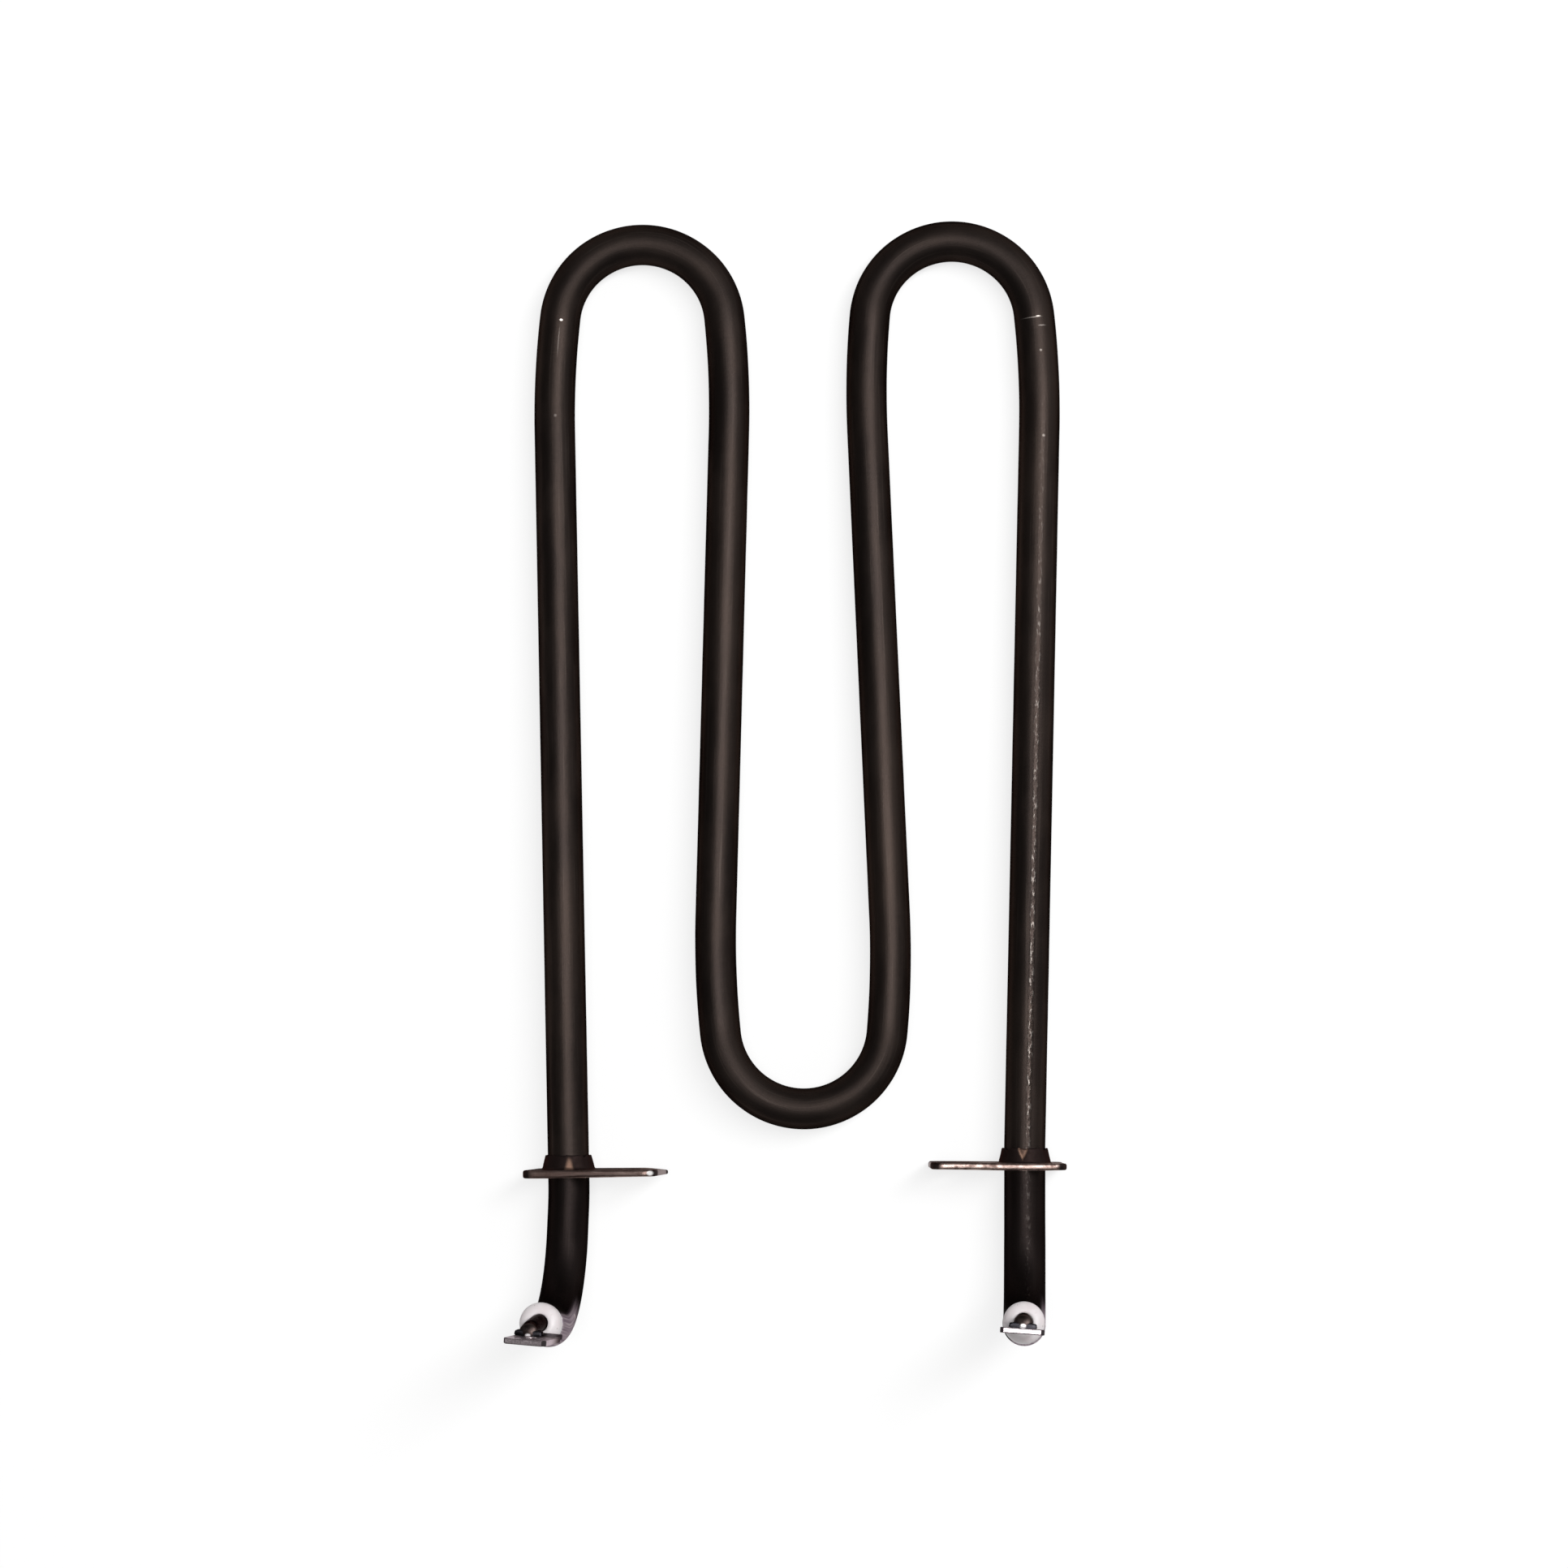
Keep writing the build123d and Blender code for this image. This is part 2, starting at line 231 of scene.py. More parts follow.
def backwards(moves):
    """The moves that go back along a list of moves."""
    return [move if move[0] == "run" else (*move[:3], -move[3]) for move in reversed(moves)]


def return_bend(angle, roll):
    """A hairpin: the former's arc between two slack easings."""
    ease = bend(EASE_RADIUS, EASE_ANGLE, roll)
    return [ease, bend(FORMER_RADIUS, angle - 2 * EASE_ANGLE, roll), ease]


def heated_moves(first_run, last_run):
    """The M between two stations on its outer legs."""
    first, second, third = RETURN_ANGLES
    return [
        run(first_run),
        *return_bend(first, QUARTER_TURN),
        run(LEG_RUNS[1]),
        *return_bend(second, -QUARTER_TURN),
        run(LEG_RUNS[2]),
        *return_bend(third, QUARTER_TURN),
        run(last_run),
    ]


def kink_length(side):
    """The tube taken up by a cold end's kink."""
    return KINK_RADIUS * radians(COLD_KINK[side])


def cold_moves(side, last_run):
    """From a coil end, through the flange and the rising bend, to the mouth."""
    outward = INWARD[side]
    to_kink = COLD_RUN + KINK_FROM_FLANGE[side]
    past_kink = COLD_RUN + FLANGE_TO_BEND[side] - to_kink - kink_length(side)
    return [
        run(to_kink),
        bend(KINK_RADIUS, COLD_KINK[side], QUARTER_TURN * outward),
        run(past_kink),
        bend(FORMER_RADIUS, COLD_BEND_ANGLE, COLD_BEND_ROLL[side] * outward),
        run(last_run),
    ]


def free_pin_moves(side):
    """From the mouth, through the bush and a small bend, to where the tab begins."""
    straight = BUSH_HEAD + PIN_STAND[side] - PIN_BEND_RADIUS * radians(PIN_BEND[side])
    return [run(straight), bend(PIN_BEND_RADIUS, PIN_BEND[side], HALF_TURN)]


def flange_station(side):
    """The frame at a flange's cold face."""
    if KINK_FROM_FLANGE[side] > 0:
        return COIL_END[side] @ shifted(0, 0, COLD_RUN)
    to_kink, kink = cold_moves(side, 0)[:2]
    return reach(COIL_END[side], [to_kink, kink, run(-KINK_FROM_FLANGE[side] - kink_length(side))])


def flange_frame(side):
    """The flange's own frame: z up the leg to the heated side, x along the inner arm."""
    inner_arm = (QUARTER_TURN - FLANGE_TWIST[side]) * INWARD[side]
    return turned_back(flange_station(side)) @ turned(inner_arm, "Z") @ turned(FLANGE_LEAN[side], "Y")


def tab_frame(side):
    """A frame on the pin's axis where the tab begins, turned with the tab."""
    return reach(MOUTH[side], free_pin_moves(side)) @ turned(TAB_TWIST[side], "Z")


def weld_frame(side):
    """The same frame, leaning with the tab about the middle of the weld."""
    weld = shifted(WELD_SINK - PIN_D / 2, 0, PIN_ON_TAB / 2)
    return tab_frame(side) @ weld @ turned(TAB_LEAN[side], "Y") @ weld.inverted()


def blade_frame(side):
    """The tab's own frame: off the pin's axis, and leaning in the tab's plane."""
    offset, skew = TAB_OFFSET[side] * INWARD[side], TAB_SKEW[side] * INWARD[side]
    return weld_frame(side) @ shifted(0, -offset, 0) @ turned(-skew, "X")


def frame_on(origin, x_way, up_way):
    """A frame at a point from the way of its x axis and a second way in its xz plane."""
    x_way = x_way.normalized()
    y_way = up_way.cross(x_way).normalized()
    z_way = x_way.cross(y_way)
    return Matrix.Translation(origin) @ Matrix((x_way, y_way, z_way)).transposed().to_4x4()


def carried_by(points):
    """A frame that three points carry."""
    return frame_on(points[0], points[1] - points[0], points[2] - points[0])


LEG_HEADING = Vector((-sin(radians(LEG_LEAN)), cos(radians(LEG_LEAN)), 0))
LEFT_LEG = frame_on(Vector((0, 0, 0)), Vector((0, 0, 1)), LEG_HEADING)
COIL_END = {
    "left": turned_back(LEFT_LEG) @ shifted(0, 0, -COLD_RUN),
    "right": reach(LEFT_LEG, heated_moves(LEG_RUNS[0], LEG_RUNS[3] - COLD_RUN)),
}
MOUTH = {side: reach(COIL_END[side], cold_moves(side, MOUTH_RUN)) for side in INWARD}


def place_on_part():
    """Carries the flat M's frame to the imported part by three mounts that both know."""
    packed = {mount["name"]: Vector(mount["pos_m"]) for mount in frame["record"]["mounts"]}
    tab_face = -PIN_D / 2 + WELD_SINK - TAB_THICKNESS / 2
    drawn = {f"{side}_fixing_hole": flange_frame(side) @ Vector((FIX_HOLE_AT, 0, PLATE_THICKNESS / 2))
             for side in INWARD}
    drawn["left_spade_tab_end"] = blade_frame("left") @ Vector((tab_face, 0, TAB_NECK + TAB_BLADE))
    here = carried_by([packed[name] for name in drawn])
    there = carried_by([point * MM for point in drawn.values()])
    return here @ there.inverted() @ Matrix.Scale(MM, 4)


PLACE = place_on_part()


# ---------- mesh helpers
def loops_between(first, second, count):
    """Quads between two rings of vertices that start at the given numbers."""
    return [(first + i, first + (i + 1) % count, second + (i + 1) % count, second + i)
            for i in range(count)]


def ring_stack(rings, closed=False):
    """Vertices and quads of rings with equal counts; a closed stack joins its last ring to its first."""
    count = len(rings[0])
    verts = [point for ring in rings for point in ring]
    faces = []
    for i in range(len(rings) - 1):
        faces += loops_between(i * count, (i + 1) * count, count)
    if closed:
        faces += loops_between((len(rings) - 1) * count, 0, count)
    return verts, faces


def capped(verts, faces, count):
    """Closes a stack of rings with a disc on each end."""
    last = len(verts) - count
    return verts, faces + [tuple(reversed(range(count))), tuple(range(last, last + count))]


def joined(*parts):
    """Several closed shells as one piece."""
    verts, faces = [], []
    for more_verts, more_faces in parts:
        first = len(verts)
        verts += more_verts
        faces += [tuple(first + i for i in face) for face in more_faces]
    return verts, faces


def polar(radius, turn, height=0.0):
    """A point at a radius and an angle round z, in radians."""
    return Vector((radius * cos(turn), radius * sin(turn), height))


def angles(start, stop, step):
    """Angles in radians from a start to before a stop, given in whole degrees."""
    return [radians(angle) for angle in range(start, stop, step)]


def circle(radius, count, height=0.0):
    """A ring of points about z."""
    return [polar(radius, 2 * pi * i / count, height) for i in range(count)]


def line_points(first, last, steps):
    """Points from a first to a last, both included, in even steps."""
    return [tuple(a + (b - a) * i / steps for a, b in zip(first, last)) for i in range(steps + 1)]


def quarter_round(centre, radius, start, count=5):
    """Points (r, z) round a quarter circle from a start angle in degrees."""
    turns = [radians(start + QUARTER_TURN * i / (count - 1)) for i in range(count)]
    return [(centre[0] + radius * cos(turn), centre[1] + radius * sin(turn)) for turn in turns]


def make_piece(name, shell, local, material, stands_for=None, sharp=38.0, weighted=False,
               mark=None, wear_and_highlight=None):
    """One object of the visual model, with its own coordinates kept for its material.

    shell is in the local frame's mm. mark gives each vertex the vector that the material reads, also in mm,
    and the share given with it tells, for the sheath, how tightly it is bent and, for a flange, where its
    collar is torn and carries a painted highlight.
    """
    verts, faces = shell
    mesh = bpy.data.meshes.new(name)
    mesh.from_pydata([PLACE @ (local @ v) for v in verts], [], faces)
    kept = mesh.attributes.new("own_place", "FLOAT_VECTOR", "POINT")
    for i, v in enumerate(mark or verts):
        kept.data[i].vector = v
    if wear_and_highlight:
        worn = mesh.attributes.new("wear_and_highlight", "FLOAT", "POINT")
        worn.data.foreach_set("value", wear_and_highlight)
    mesh.validate()
    mesh.shade_smooth()
    mesh.set_sharp_from_angle(angle=radians(sharp))
    piece = bpy.data.objects.new(name, mesh)
    bpy.context.scene.collection.objects.link(piece)
    mesh.materials.append(MATERIALS[material])
    if weighted:
        piece.modifiers.new("even normals", "WEIGHTED_NORMAL").keep_sharp = True
    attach(piece, "root")
    if stands_for:
        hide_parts(stands_for)
    return piece


def plate_shell(loops, thickness, edge_round):
    """A flat plate with holes and rounded edges; loops are lists of (x, y), z runs from 0."""
    curve = bpy.data.curves.new("outline", "CURVE")
    curve.dimensions, curve.fill_mode = "2D", "BOTH"
    curve.extrude = thickness / 2 - edge_round
    curve.bevel_depth, curve.bevel_resolution, curve.offset = edge_round, 3, -edge_round
    for loop in loops:
        spline = curve.splines.new("POLY")
        spline.points.add(len(loop) - 1)
        for point, (x, y) in zip(spline.points, loop):
            point.co = (x, y, 0, 1)
        spline.use_cyclic_u = True
    drawn = bpy.data.objects.new("outline", curve)
    mesh = drawn.to_mesh()
    verts = [v.co + Vector((0, 0, thickness / 2)) for v in mesh.vertices]
    faces = [tuple(face.vertices) for face in mesh.polygons]
    drawn.to_mesh_clear()
    bpy.data.objects.remove(drawn)
    bpy.data.curves.remove(curve)
    return verts, faces


def fine_line(corners, step=0.5):
    """A closed outline with its straight stretches cut into short steps."""
    out = []
    for (x0, y0), (x1, y1) in zip(corners, corners[1:] + corners[:1]):
        count = max(1, round(((x1 - x0) ** 2 + (y1 - y0) ** 2) ** 0.5 / step))
        out += [(x0 + (x1 - x0) * i / count, y0 + (y1 - y0) * i / count) for i in range(count)]
    return out


def arc_points(cx, cy, radius, start, end, count=7):
    """Points along an arc in the xy plane, both ends included; angles in degrees."""
    turns = [radians(start + (end - start) * i / (count - 1)) for i in range(count)]
    return [(cx + radius * cos(turn), cy + radius * sin(turn)) for turn in turns]


def round_hole(cx, cy, radius, count):
    """The points of a whole circle in the xy plane."""
    return arc_points(cx, cy, radius, 0, FULL_TURN * (count - 1) / count, count)


# ---------- pieces
def smooth_step(x):
    """0 below 0 and 1 above 1, with a smooth rise between."""
    x = min(max(x, 0.0), 1.0)
    return x * x * (3 - 2 * x)


def ramp(value, start, end):
    """0 before a start and 1 past an end, smoothly; the end may be the lower of the two."""
    return smooth_step((value - start) / (end - start))


def bend_share(distance, length):
    """How far into a tight bend's oval section a place is."""
    inside = min(distance, length - distance)
    return smooth_step(0.5 + inside / (2 * OVAL_BLEND))


def sheath_moves():
    """From the left mouth, through the M, to the right mouth."""
    return [
        *backwards(cold_moves("left", MOUTH_RUN)),
        *heated_moves(LEG_RUNS[0] - COLD_RUN, LEG_RUNS[3] - COLD_RUN),
        *cold_moves("right", MOUTH_RUN),
    ]


def tube_stations(step):
    """Places along the sheath: distance, frame, and the roll and share of a tight bend."""
    here, far, out, tight = turned_back(MOUTH["left"]), 0.0, [], []
    for move in sheath_moves():
        length = move_length(move)
        if move[0] == "bend" and move[1] == FORMER_RADIUS:
            tight.append([far, length, move[3]])
        count = max(2, round(length / step))
        out += [(far + length * i / count, after(here, move, i / count)) for i in range(count)]
        here, far = after(here, move), far + length
    out.append((far, here))
    tight[0][0] -= MOUTH_RUN
    tight[0][1] += MOUTH_RUN
    tight[-1][1] += MOUTH_RUN
    stations = []
    for distance, place in out:
        start, length, roll = min(tight, key=lambda one: abs(distance - one[0] - one[1] / 2) - one[1] / 2)
        stations.append((distance, place, roll, bend_share(distance - start, length)))
    return stations


def tube_ring(station, radius, sides, wave):
    """One ring of the sheath, oval where the tube is bent tightly."""
    distance, place, roll, share = station
    ring = []
    for i in range(sides):
        turn = 2 * pi * i / sides
        oval = 1 - BEND_OVAL * share * cos(2 * (turn - radians(roll)))
        uneven = wave * noise.noise(Vector((distance / WAVE_LENGTH, 2 * cos(turn), 2 * sin(turn))))
        ring.append(place @ polar(radius * oval + uneven, turn))
    return ring


def rim_stations(end, way):
    """Stations and radii round one mouth's rim; way is 1 where the tube starts and -1 where it ends."""
    rim = []
    for out, along in quarter_round((0, 0), RIM_ROUND, 0, 4):
        place = end[1] @ shifted(0, 0, way * (RIM_ROUND - along))
        rim.append(((end[0], place, *end[2:]), SHEATH_OD / 2 - RIM_ROUND + out))
    return rim[::-1] if way == 1 else rim


def make_sheath():
    """The whole tube: its outside, the rounded rims of its mouths, and its bore."""
    stations = tube_stations(RING_STEP)
    first, last = stations[0], stations[-1]
    outside = [(station, SHEATH_OD / 2) for station in stations
               if RIM_ROUND < station[0] < last[0] - RIM_ROUND]
    course = rim_stations(first, 1) + outside + rim_stations(last, -1)
    bore = tube_stations(BORE_STEP)[::-1]
    rings = [tube_ring(station, radius, SHEATH_SIDES, TUBE_WAVE) for station, radius in course]
    rings += [tube_ring(station, SHEATH_ID / 2, SHEATH_SIDES, 0) for station in bore]
    marks = [(station[0], point.x, point.y) for station, radius in course
             for point in circle(radius, SHEATH_SIDES)]
    marks += [(station[0], 0, 0) for station in bore for _ in range(SHEATH_SIDES)]
    bent = [share for *_, share in [station for station, _ in course] + bore for _ in range(SHEATH_SIDES)]
    make_piece("sheath_tube", ring_stack(rings, closed=True), Matrix(), "sheath", "sheath",
               mark=marks, wear_and_highlight=bent)


def revolved(profile, sides, shape):
    """A closed profile of (r, z) points turned about z; shape gives a point from r, z and the angle."""
    rings = [[shape(r, z, 2 * pi * i / sides) for i in range(sides)] for r, z in profile]
    return ring_stack(rings, closed=True)


def make_bush(side):
    """The domed ceramic bush with its pin hole."""
    bore, top = PIN_D / 2 + BUSH_GAP, BUSH_HEAD
    spigot, head = SHEATH_ID / 2 - BUSH_GAP, BUSH_D / 2
    profile = [
        (bore, -BUSH_SPIGOT),
        (spigot - BUSH_CHAMFER, -BUSH_SPIGOT),
        (spigot, BUSH_CHAMFER - BUSH_SPIGOT),
        (spigot, 0.0),
        *quarter_round((head - BUSH_FOOT_ROUND, BUSH_FOOT_ROUND), BUSH_FOOT_ROUND, -QUARTER_TURN),
        (head, BUSH_WAIST),
        *quarter_round((head - BUSH_ROUND, top - BUSH_ROUND), BUSH_ROUND, 0, 12),
        *quarter_round((bore + BUSH_BORE_ROUND, top - BUSH_BORE_ROUND), BUSH_BORE_ROUND, QUARTER_TURN)[:-1],
        (bore, top - BUSH_BORE_DEPTH),
    ]

    def uneven(r, z, turn):
        """The head swells a little here and there; the spigot is true."""
        swell = BUSH_SWELL * noise.noise(polar(1, turn, z / 2 + SEED[side])) if z > 0 else 0
        return polar(r + swell, turn, z)

    make_piece(f"{side}_bush_ceramic", revolved(profile, BUSH_SIDES, uneven), MOUTH[side], "bush",
               f"{side}_ceramic_bush")


def nose_rings(side):
    """The pin's welded end in the tab's frame: flat on the tab, pressed towards it and domed."""
    radius, flat = PIN_D / 2, PIN_D / 2 - WELD_SINK
    slope = sin(radians(TAB_LEAN[side]))
    shaft = [(radius, SHAFT_STEP * i) for i in range(round((PIN_ON_TAB - NOSE_DOME) / SHAFT_STEP))]
    dome = [(radius * cos(t), PIN_ON_TAB - NOSE_DOME * (1 - sin(t))) for t in angles(0, 90, 9)]
    rings = []
    for r, z in shaft + dome:
        pressed = ramp(z, PIN_ON_TAB - SQUASH_LENGTH, PIN_ON_TAB)
        on_tab = ramp(z, 0, FLAT_LEAD)
        face = -flat + slope * (z - PIN_ON_TAB / 2)
        ring = circle(r, PIN_SIDES, z)
        for v in ring:
            v.x -= NOSE_SINK * pressed * (1 + v.x / flat) / 2 + NOSE_SHIFT * (1 - r / radius)
            v.x = max(v.x, face * on_tab - PIN_D * (1 - on_tab))
            v.y *= 1 + NOSE_SPREAD * pressed
        rings.append(ring)
    return rings


def make_pin(side):
    """The terminal pin from the coil's end to its squashed, welded nose."""
    here, rings = COIL_END[side], []
    for move in cold_moves(side, MOUTH_RUN) + free_pin_moves(side):
        count = max(1, round(move_length(move)))
        for i in range(count):
            place = after(here, move, i / count)
            rings.append([place @ v for v in circle(PIN_D / 2, PIN_SIDES)])
        here = after(here, move)
    here = tab_frame(side)
    rings += [[here @ v for v in ring] for ring in nose_rings(side)]
    verts, faces = capped(*ring_stack(rings), PIN_SIDES)
    marks = [here.inverted() @ v for v in verts]
    make_piece(f"{side}_pin_rod", (verts, faces), Matrix(), "pin", f"{side}_terminal_pin", mark=marks)


def make_weld(side):
    """The pin's end pressed out to a wing on either side, flat on the tab."""
    rings = []
    face = WELD_SINK - PIN_D / 2 - WELD_BITE
    foot, top = PIN_ON_TAB - SQUASH_LENGTH, PIN_ON_TAB - WING_SHORT
    edge = [WING_ROUND * (1 - cos(t)) for t in angles(0, 91, 15)]
    for z in [foot + rise for rise in edge] + [top - rise for rise in reversed(edge)]:
        depth = min(min(z - foot, top - z) / WING_ROUND, 1.0)
        inset = WING_ROUND * (1 - max(0.0, 1 - (1 - depth) ** 2) ** 0.5)
        ring = []
        for i in range(WING_SIDES):
            turn = 2 * pi * i / WING_SIDES
            out, up = (abs(f) ** WING_SQUARENESS * (1 if f > 0 else -1) for f in (cos(turn), sin(turn)))
            lump = WING_LUMP * noise.noise(Vector((2 * out, 2 * up, z + 3 * SEED[side])))
            high = (WING_HEIGHT - inset + lump) * (1 + up) / 2
            wide = (WING_WIDTH / 2 - inset + lump) * (1 - WING_TAPER * high)
            ring.append(Vector((face + high, wide * out, z)))
        rings.append(ring)
    shell = capped(*ring_stack(rings), WING_SIDES)
    make_piece(f"{side}_weld", shell, weld_frame(side), "weld", sharp=60.0)


def tab_outline():
    """The blade's outline, a half and its mirror, as (across, along)."""
    half, neck, top = TAB_WIDTH / 2, TAB_NECK_WIDTH / 2, TAB_NECK + TAB_BLADE
    tip_in, tip_back = TAB_TIP
    side = [
        (neck, 0), (neck, TAB_NECK - half + neck), (half, TAB_NECK),
        (half, top - tip_back), (half - tip_in, top),
    ]
    return fine_line(side + [(-across, along) for across, along in reversed(side)], 0.4)


def make_tab(side):
    """The spade tab, stamped with soft edges and a locking hole."""
    top = TAB_NECK + TAB_BLADE
    hole = round_hole(0, top - TAB_HOLE_FROM_TIP, TAB_HOLE_D / 2, 32)
    shell = plate_shell([tab_outline(), hole], TAB_THICKNESS, TAB_EDGE_ROUND)
    face = PIN_D / 2 - WELD_SINK
    stand = Matrix(((0, 0, 1, -face - TAB_THICKNESS), (1, 0, 0, 0), (0, 1, 0, 0), (0, 0, 0, 1)))
    marks = [stand @ v for v in shell[0]]
    make_piece(f"{side}_tab_blade", (marks, shell[1]), blade_frame(side), "tab", f"{side}_spade_tab",
               weighted=True)


def dished(v, side):
    """A vertex of the flange where forming left it: dished round the collar, sagged and thinned."""
    near = exp(-(v.x ** 2 + v.y ** 2) / PLATE_DISH_RADIUS ** 2)
    lip = PLATE_THICKNESS + COLLAR_HEIGHT
    dish = PLATE_DISH[side] * near * ramp(v.z, lip, lip - COLLAR_HEIGHT / 2)
    sag = ARM_SAG[side] * ramp(v.z, PLATE_THICKNESS, 0) * ramp(v.x, *SAG_ALONG)
    thin = CORNER_ROLL[side] * ramp(v.x, *ROLL_ALONG) * ramp(v.y, *ROLL_ACROSS)
    return Vector((v.x, v.y, v.z * (1 - thin) + ROLL_CENTRE * thin - dish - sag))


def flange_plate():
    """The stamped plate with its fixing hole; the collar piece fills the middle."""
    left, right, half = PLATE_CORNER - PLATE_OUT, PLATE_IN - PLATE_CORNER, PLATE_DEPTH / 2 - PLATE_CORNER
    centres = [(right, half), (left, half), (left, -half), (right, -half)]
    outline = []
    for i, (x, y) in enumerate(centres):
        outline += arc_points(x, y, PLATE_CORNER, i * QUARTER_TURN, (i + 1) * QUARTER_TURN)
    fixing = round_hole(FIX_HOLE_AT, 0, FIX_HOLE_D / 2, 48)
    middle = round_hole(0, 0, COLLAR_BASE_D / 2 - COLLAR_SEAT, 72)
    return plate_shell([fine_line(outline), fixing, middle], PLATE_THICKNESS, PLATE_EDGE_ROUND)


def lip_drop(turn, side):
    """How far the collar's lip lies below its full height at an angle in radians."""
    drop = LIP_RAGGED * (0.5 + noise.noise(polar(3, turn, 2 * SEED[side])))
    for i, depth in enumerate(SPLIT_DEPTH):
        at = FULL_TURN * (i + 1) / COLLAR_SPLITS + SPLIT_SCATTER * sin(2.4 * i + SEED[side])
        drop = max(drop, depth * (1 - abs(from_upper(turn, side, at)) / SPLIT_HALF_ANGLE))
    return drop


def from_upper(turn, side, at):
    """Degrees round the collar from a place, at degrees past its upper line, to an angle in radians."""
    upper = -QUARTER_TURN * INWARD[side]
    return (turn * HALF_TURN / pi - upper - at + HALF_TURN) % FULL_TURN - HALF_TURN


def tear_and_highlight(v, side):
    """How much painted highlight a vertex of the collar takes, and on the right how torn it is: a soft patch
    on the left, a V on the right.
    """
    share = max(0.0, (v.z - PLATE_THICKNESS) / COLLAR_HEIGHT)
    off = from_upper(atan2(v.y, v.x), side, TEAR_AT[side])
    if side == "left":
        half = PATCH_LIP_HALF + (PATCH_FOOT_HALF - PATCH_LIP_HALF) * (1 - share)
        return PATCH_STRENGTH * smooth_step((half - abs(off)) / PATCH_FADE) * ramp(share, *PATCH_HEIGHT)
    inside = VEE_HALF * (share - VEE_FOOT) - abs(off)
    within = ramp(inside, 0, VEE_EDGE)
    stroke = within * ramp(inside, *VEE_STROKE) * VEE_STRENGTH[off >= 0]
    return max(stroke, VEE_FILL * within)


def collar_shell(side):
    """The drawn collar with its torn lip, down through the plate to the punch's entry round."""
    bore, base, lip = SHEATH_OD / 2 + FLANGE_GRIP, COLLAR_BASE_D / 2, COLLAR_TOP_D / 2
    top, half_wall = PLATE_THICKNESS + COLLAR_HEIGHT, (lip - bore) / 2
    root = [(base + COLLAR_ROOT * (1 - sin(t)), PLATE_THICKNESS + COLLAR_ROOT * (1 - cos(t)))
            for t in angles(0, 91, 15)]
    rise = line_points(root[-1], (lip, top - half_wall), COLLAR_RINGS)[1:]
    crown = [(bore + half_wall * (1 + cos(t)), top - half_wall * (1 - sin(t))) for t in angles(30, 180, 30)]
    inner = line_points((bore, top - half_wall), (bore, PIERCE_ROUND), COLLAR_RINGS)
    entry = [(bore + PIERCE_ROUND * (1 - cos(t)), PIERCE_ROUND * (1 - sin(t))) for t in angles(15, 91, 15)]
    under = [(base + COLLAR_FLARE, 0.0), (base + COLLAR_FLARE, PLATE_THICKNESS * 0.6),
             (base + COLLAR_ROOT, PLATE_THICKNESS * 0.9)]
    slope = sin(radians(FLANGE_LEAN[side]))

    def shape(r, z, turn):
        """A point of the collar, with its lip torn down and its outside folded and dented."""
        share = max(0.0, (z - PLATE_THICKNESS) / COLLAR_HEIGHT)
        z -= lip_drop(turn, side) * share
        fold = LIP_FOLD * share * noise.noise(polar(2, turn, z + SEED[side]))
        v = polar(r, turn, z)
        if r > bore + half_wall:
            v *= 1 + (max(fold, 0) - TEAR_SINK[side] * tear_and_highlight(v, side)) / r
        return v - Vector((z * slope, 0, 0))

    return revolved(root + rise + crown + inner + entry + under, COLLAR_SIDES, shape)


def make_flange(side):
    """The pierced flange: its plate and the collar drawn up round the tube."""
    verts, faces = joined(flange_plate(), collar_shell(side))
    near = COLLAR_BASE_D / 2 + COLLAR_ROOT
    wear_and_highlight = [tear_and_highlight(v, side) if v.x ** 2 + v.y ** 2 < near ** 2 else 0.0 for v in verts]
    shell = ([dished(v, side) for v in verts], faces)
    make_piece(f"{side}_flange_plate", shell, flange_frame(side), "flange", f"{side}_flange",
               sharp=50.0, weighted=True, wear_and_highlight=wear_and_highlight)


# ---------- materials
SHEATH_DARK = (0.026, 0.02, 0.018)
SHEATH_BROWN = (0.04, 0.03, 0.0262)
SHEATH_WARM = (0.052, 0.038, 0.032)
SHEATH_LINE = (0.07, 0.055, 0.048)
# painted shade: darkens the cold ends, where the lamp's highlight fades as the tube bends away
SHEATH_COLD_SHADE = (0.012, 0.0092, 0.0094)
# bare rubbed metal, also used for the painted glint by the left mouth and the grit's painted sparkle
SHEATH_RUBBED_AND_GLINT = (0.8, 0.72, 0.66)
SHEATH_EDGE_TINT = (0.2, 0.18, 0.18)
SHEATH_ROUGHNESS = (0.40, 0.50)
BEND_ROUGHER = 0.09
# painted reflection of the floor on the rising ends' outer flanks by the mouths
MOUTH_REFLECTED_LILAC = (0.34, 0.28, 0.33)
MOUTH_REFLECTED_PALE = (0.6, 0.52, 0.56)
FLANGE_EDGE_TINT = (0.45, 0.38, 0.36)
FLANGE_COPPER = (0.33, 0.24, 0.215)
FLANGE_BROWN = (0.11, 0.072, 0.062)
FLANGE_BRIGHT = (0.5, 0.38, 0.34)
FLANGE_SILVER = (0.46, 0.43, 0.44)
# painted highlight on the left plate's corner
FLANGE_PAINTED_GLINT = (0.95, 0.93, 0.92)
COLLAR_DARK = (0.013, 0.0095, 0.0097)
COLLAR_BROWN = (0.042, 0.0275, 0.025)
# painted highlight on the collar's upper line
COLLAR_TAN_HIGHLIGHT = (0.42, 0.26, 0.19)
BUSH_WHITE = (0.93, 0.875, 0.885)
BUSH_GREY = (0.86, 0.775, 0.785)
BUSH_SPECK = (0.5, 0.44, 0.43)
TAB_NICKEL = (0.7, 0.61, 0.64)
TAB_GREY = (0.54, 0.46, 0.485)
TAB_DULL = (0.28, 0.235, 0.245)
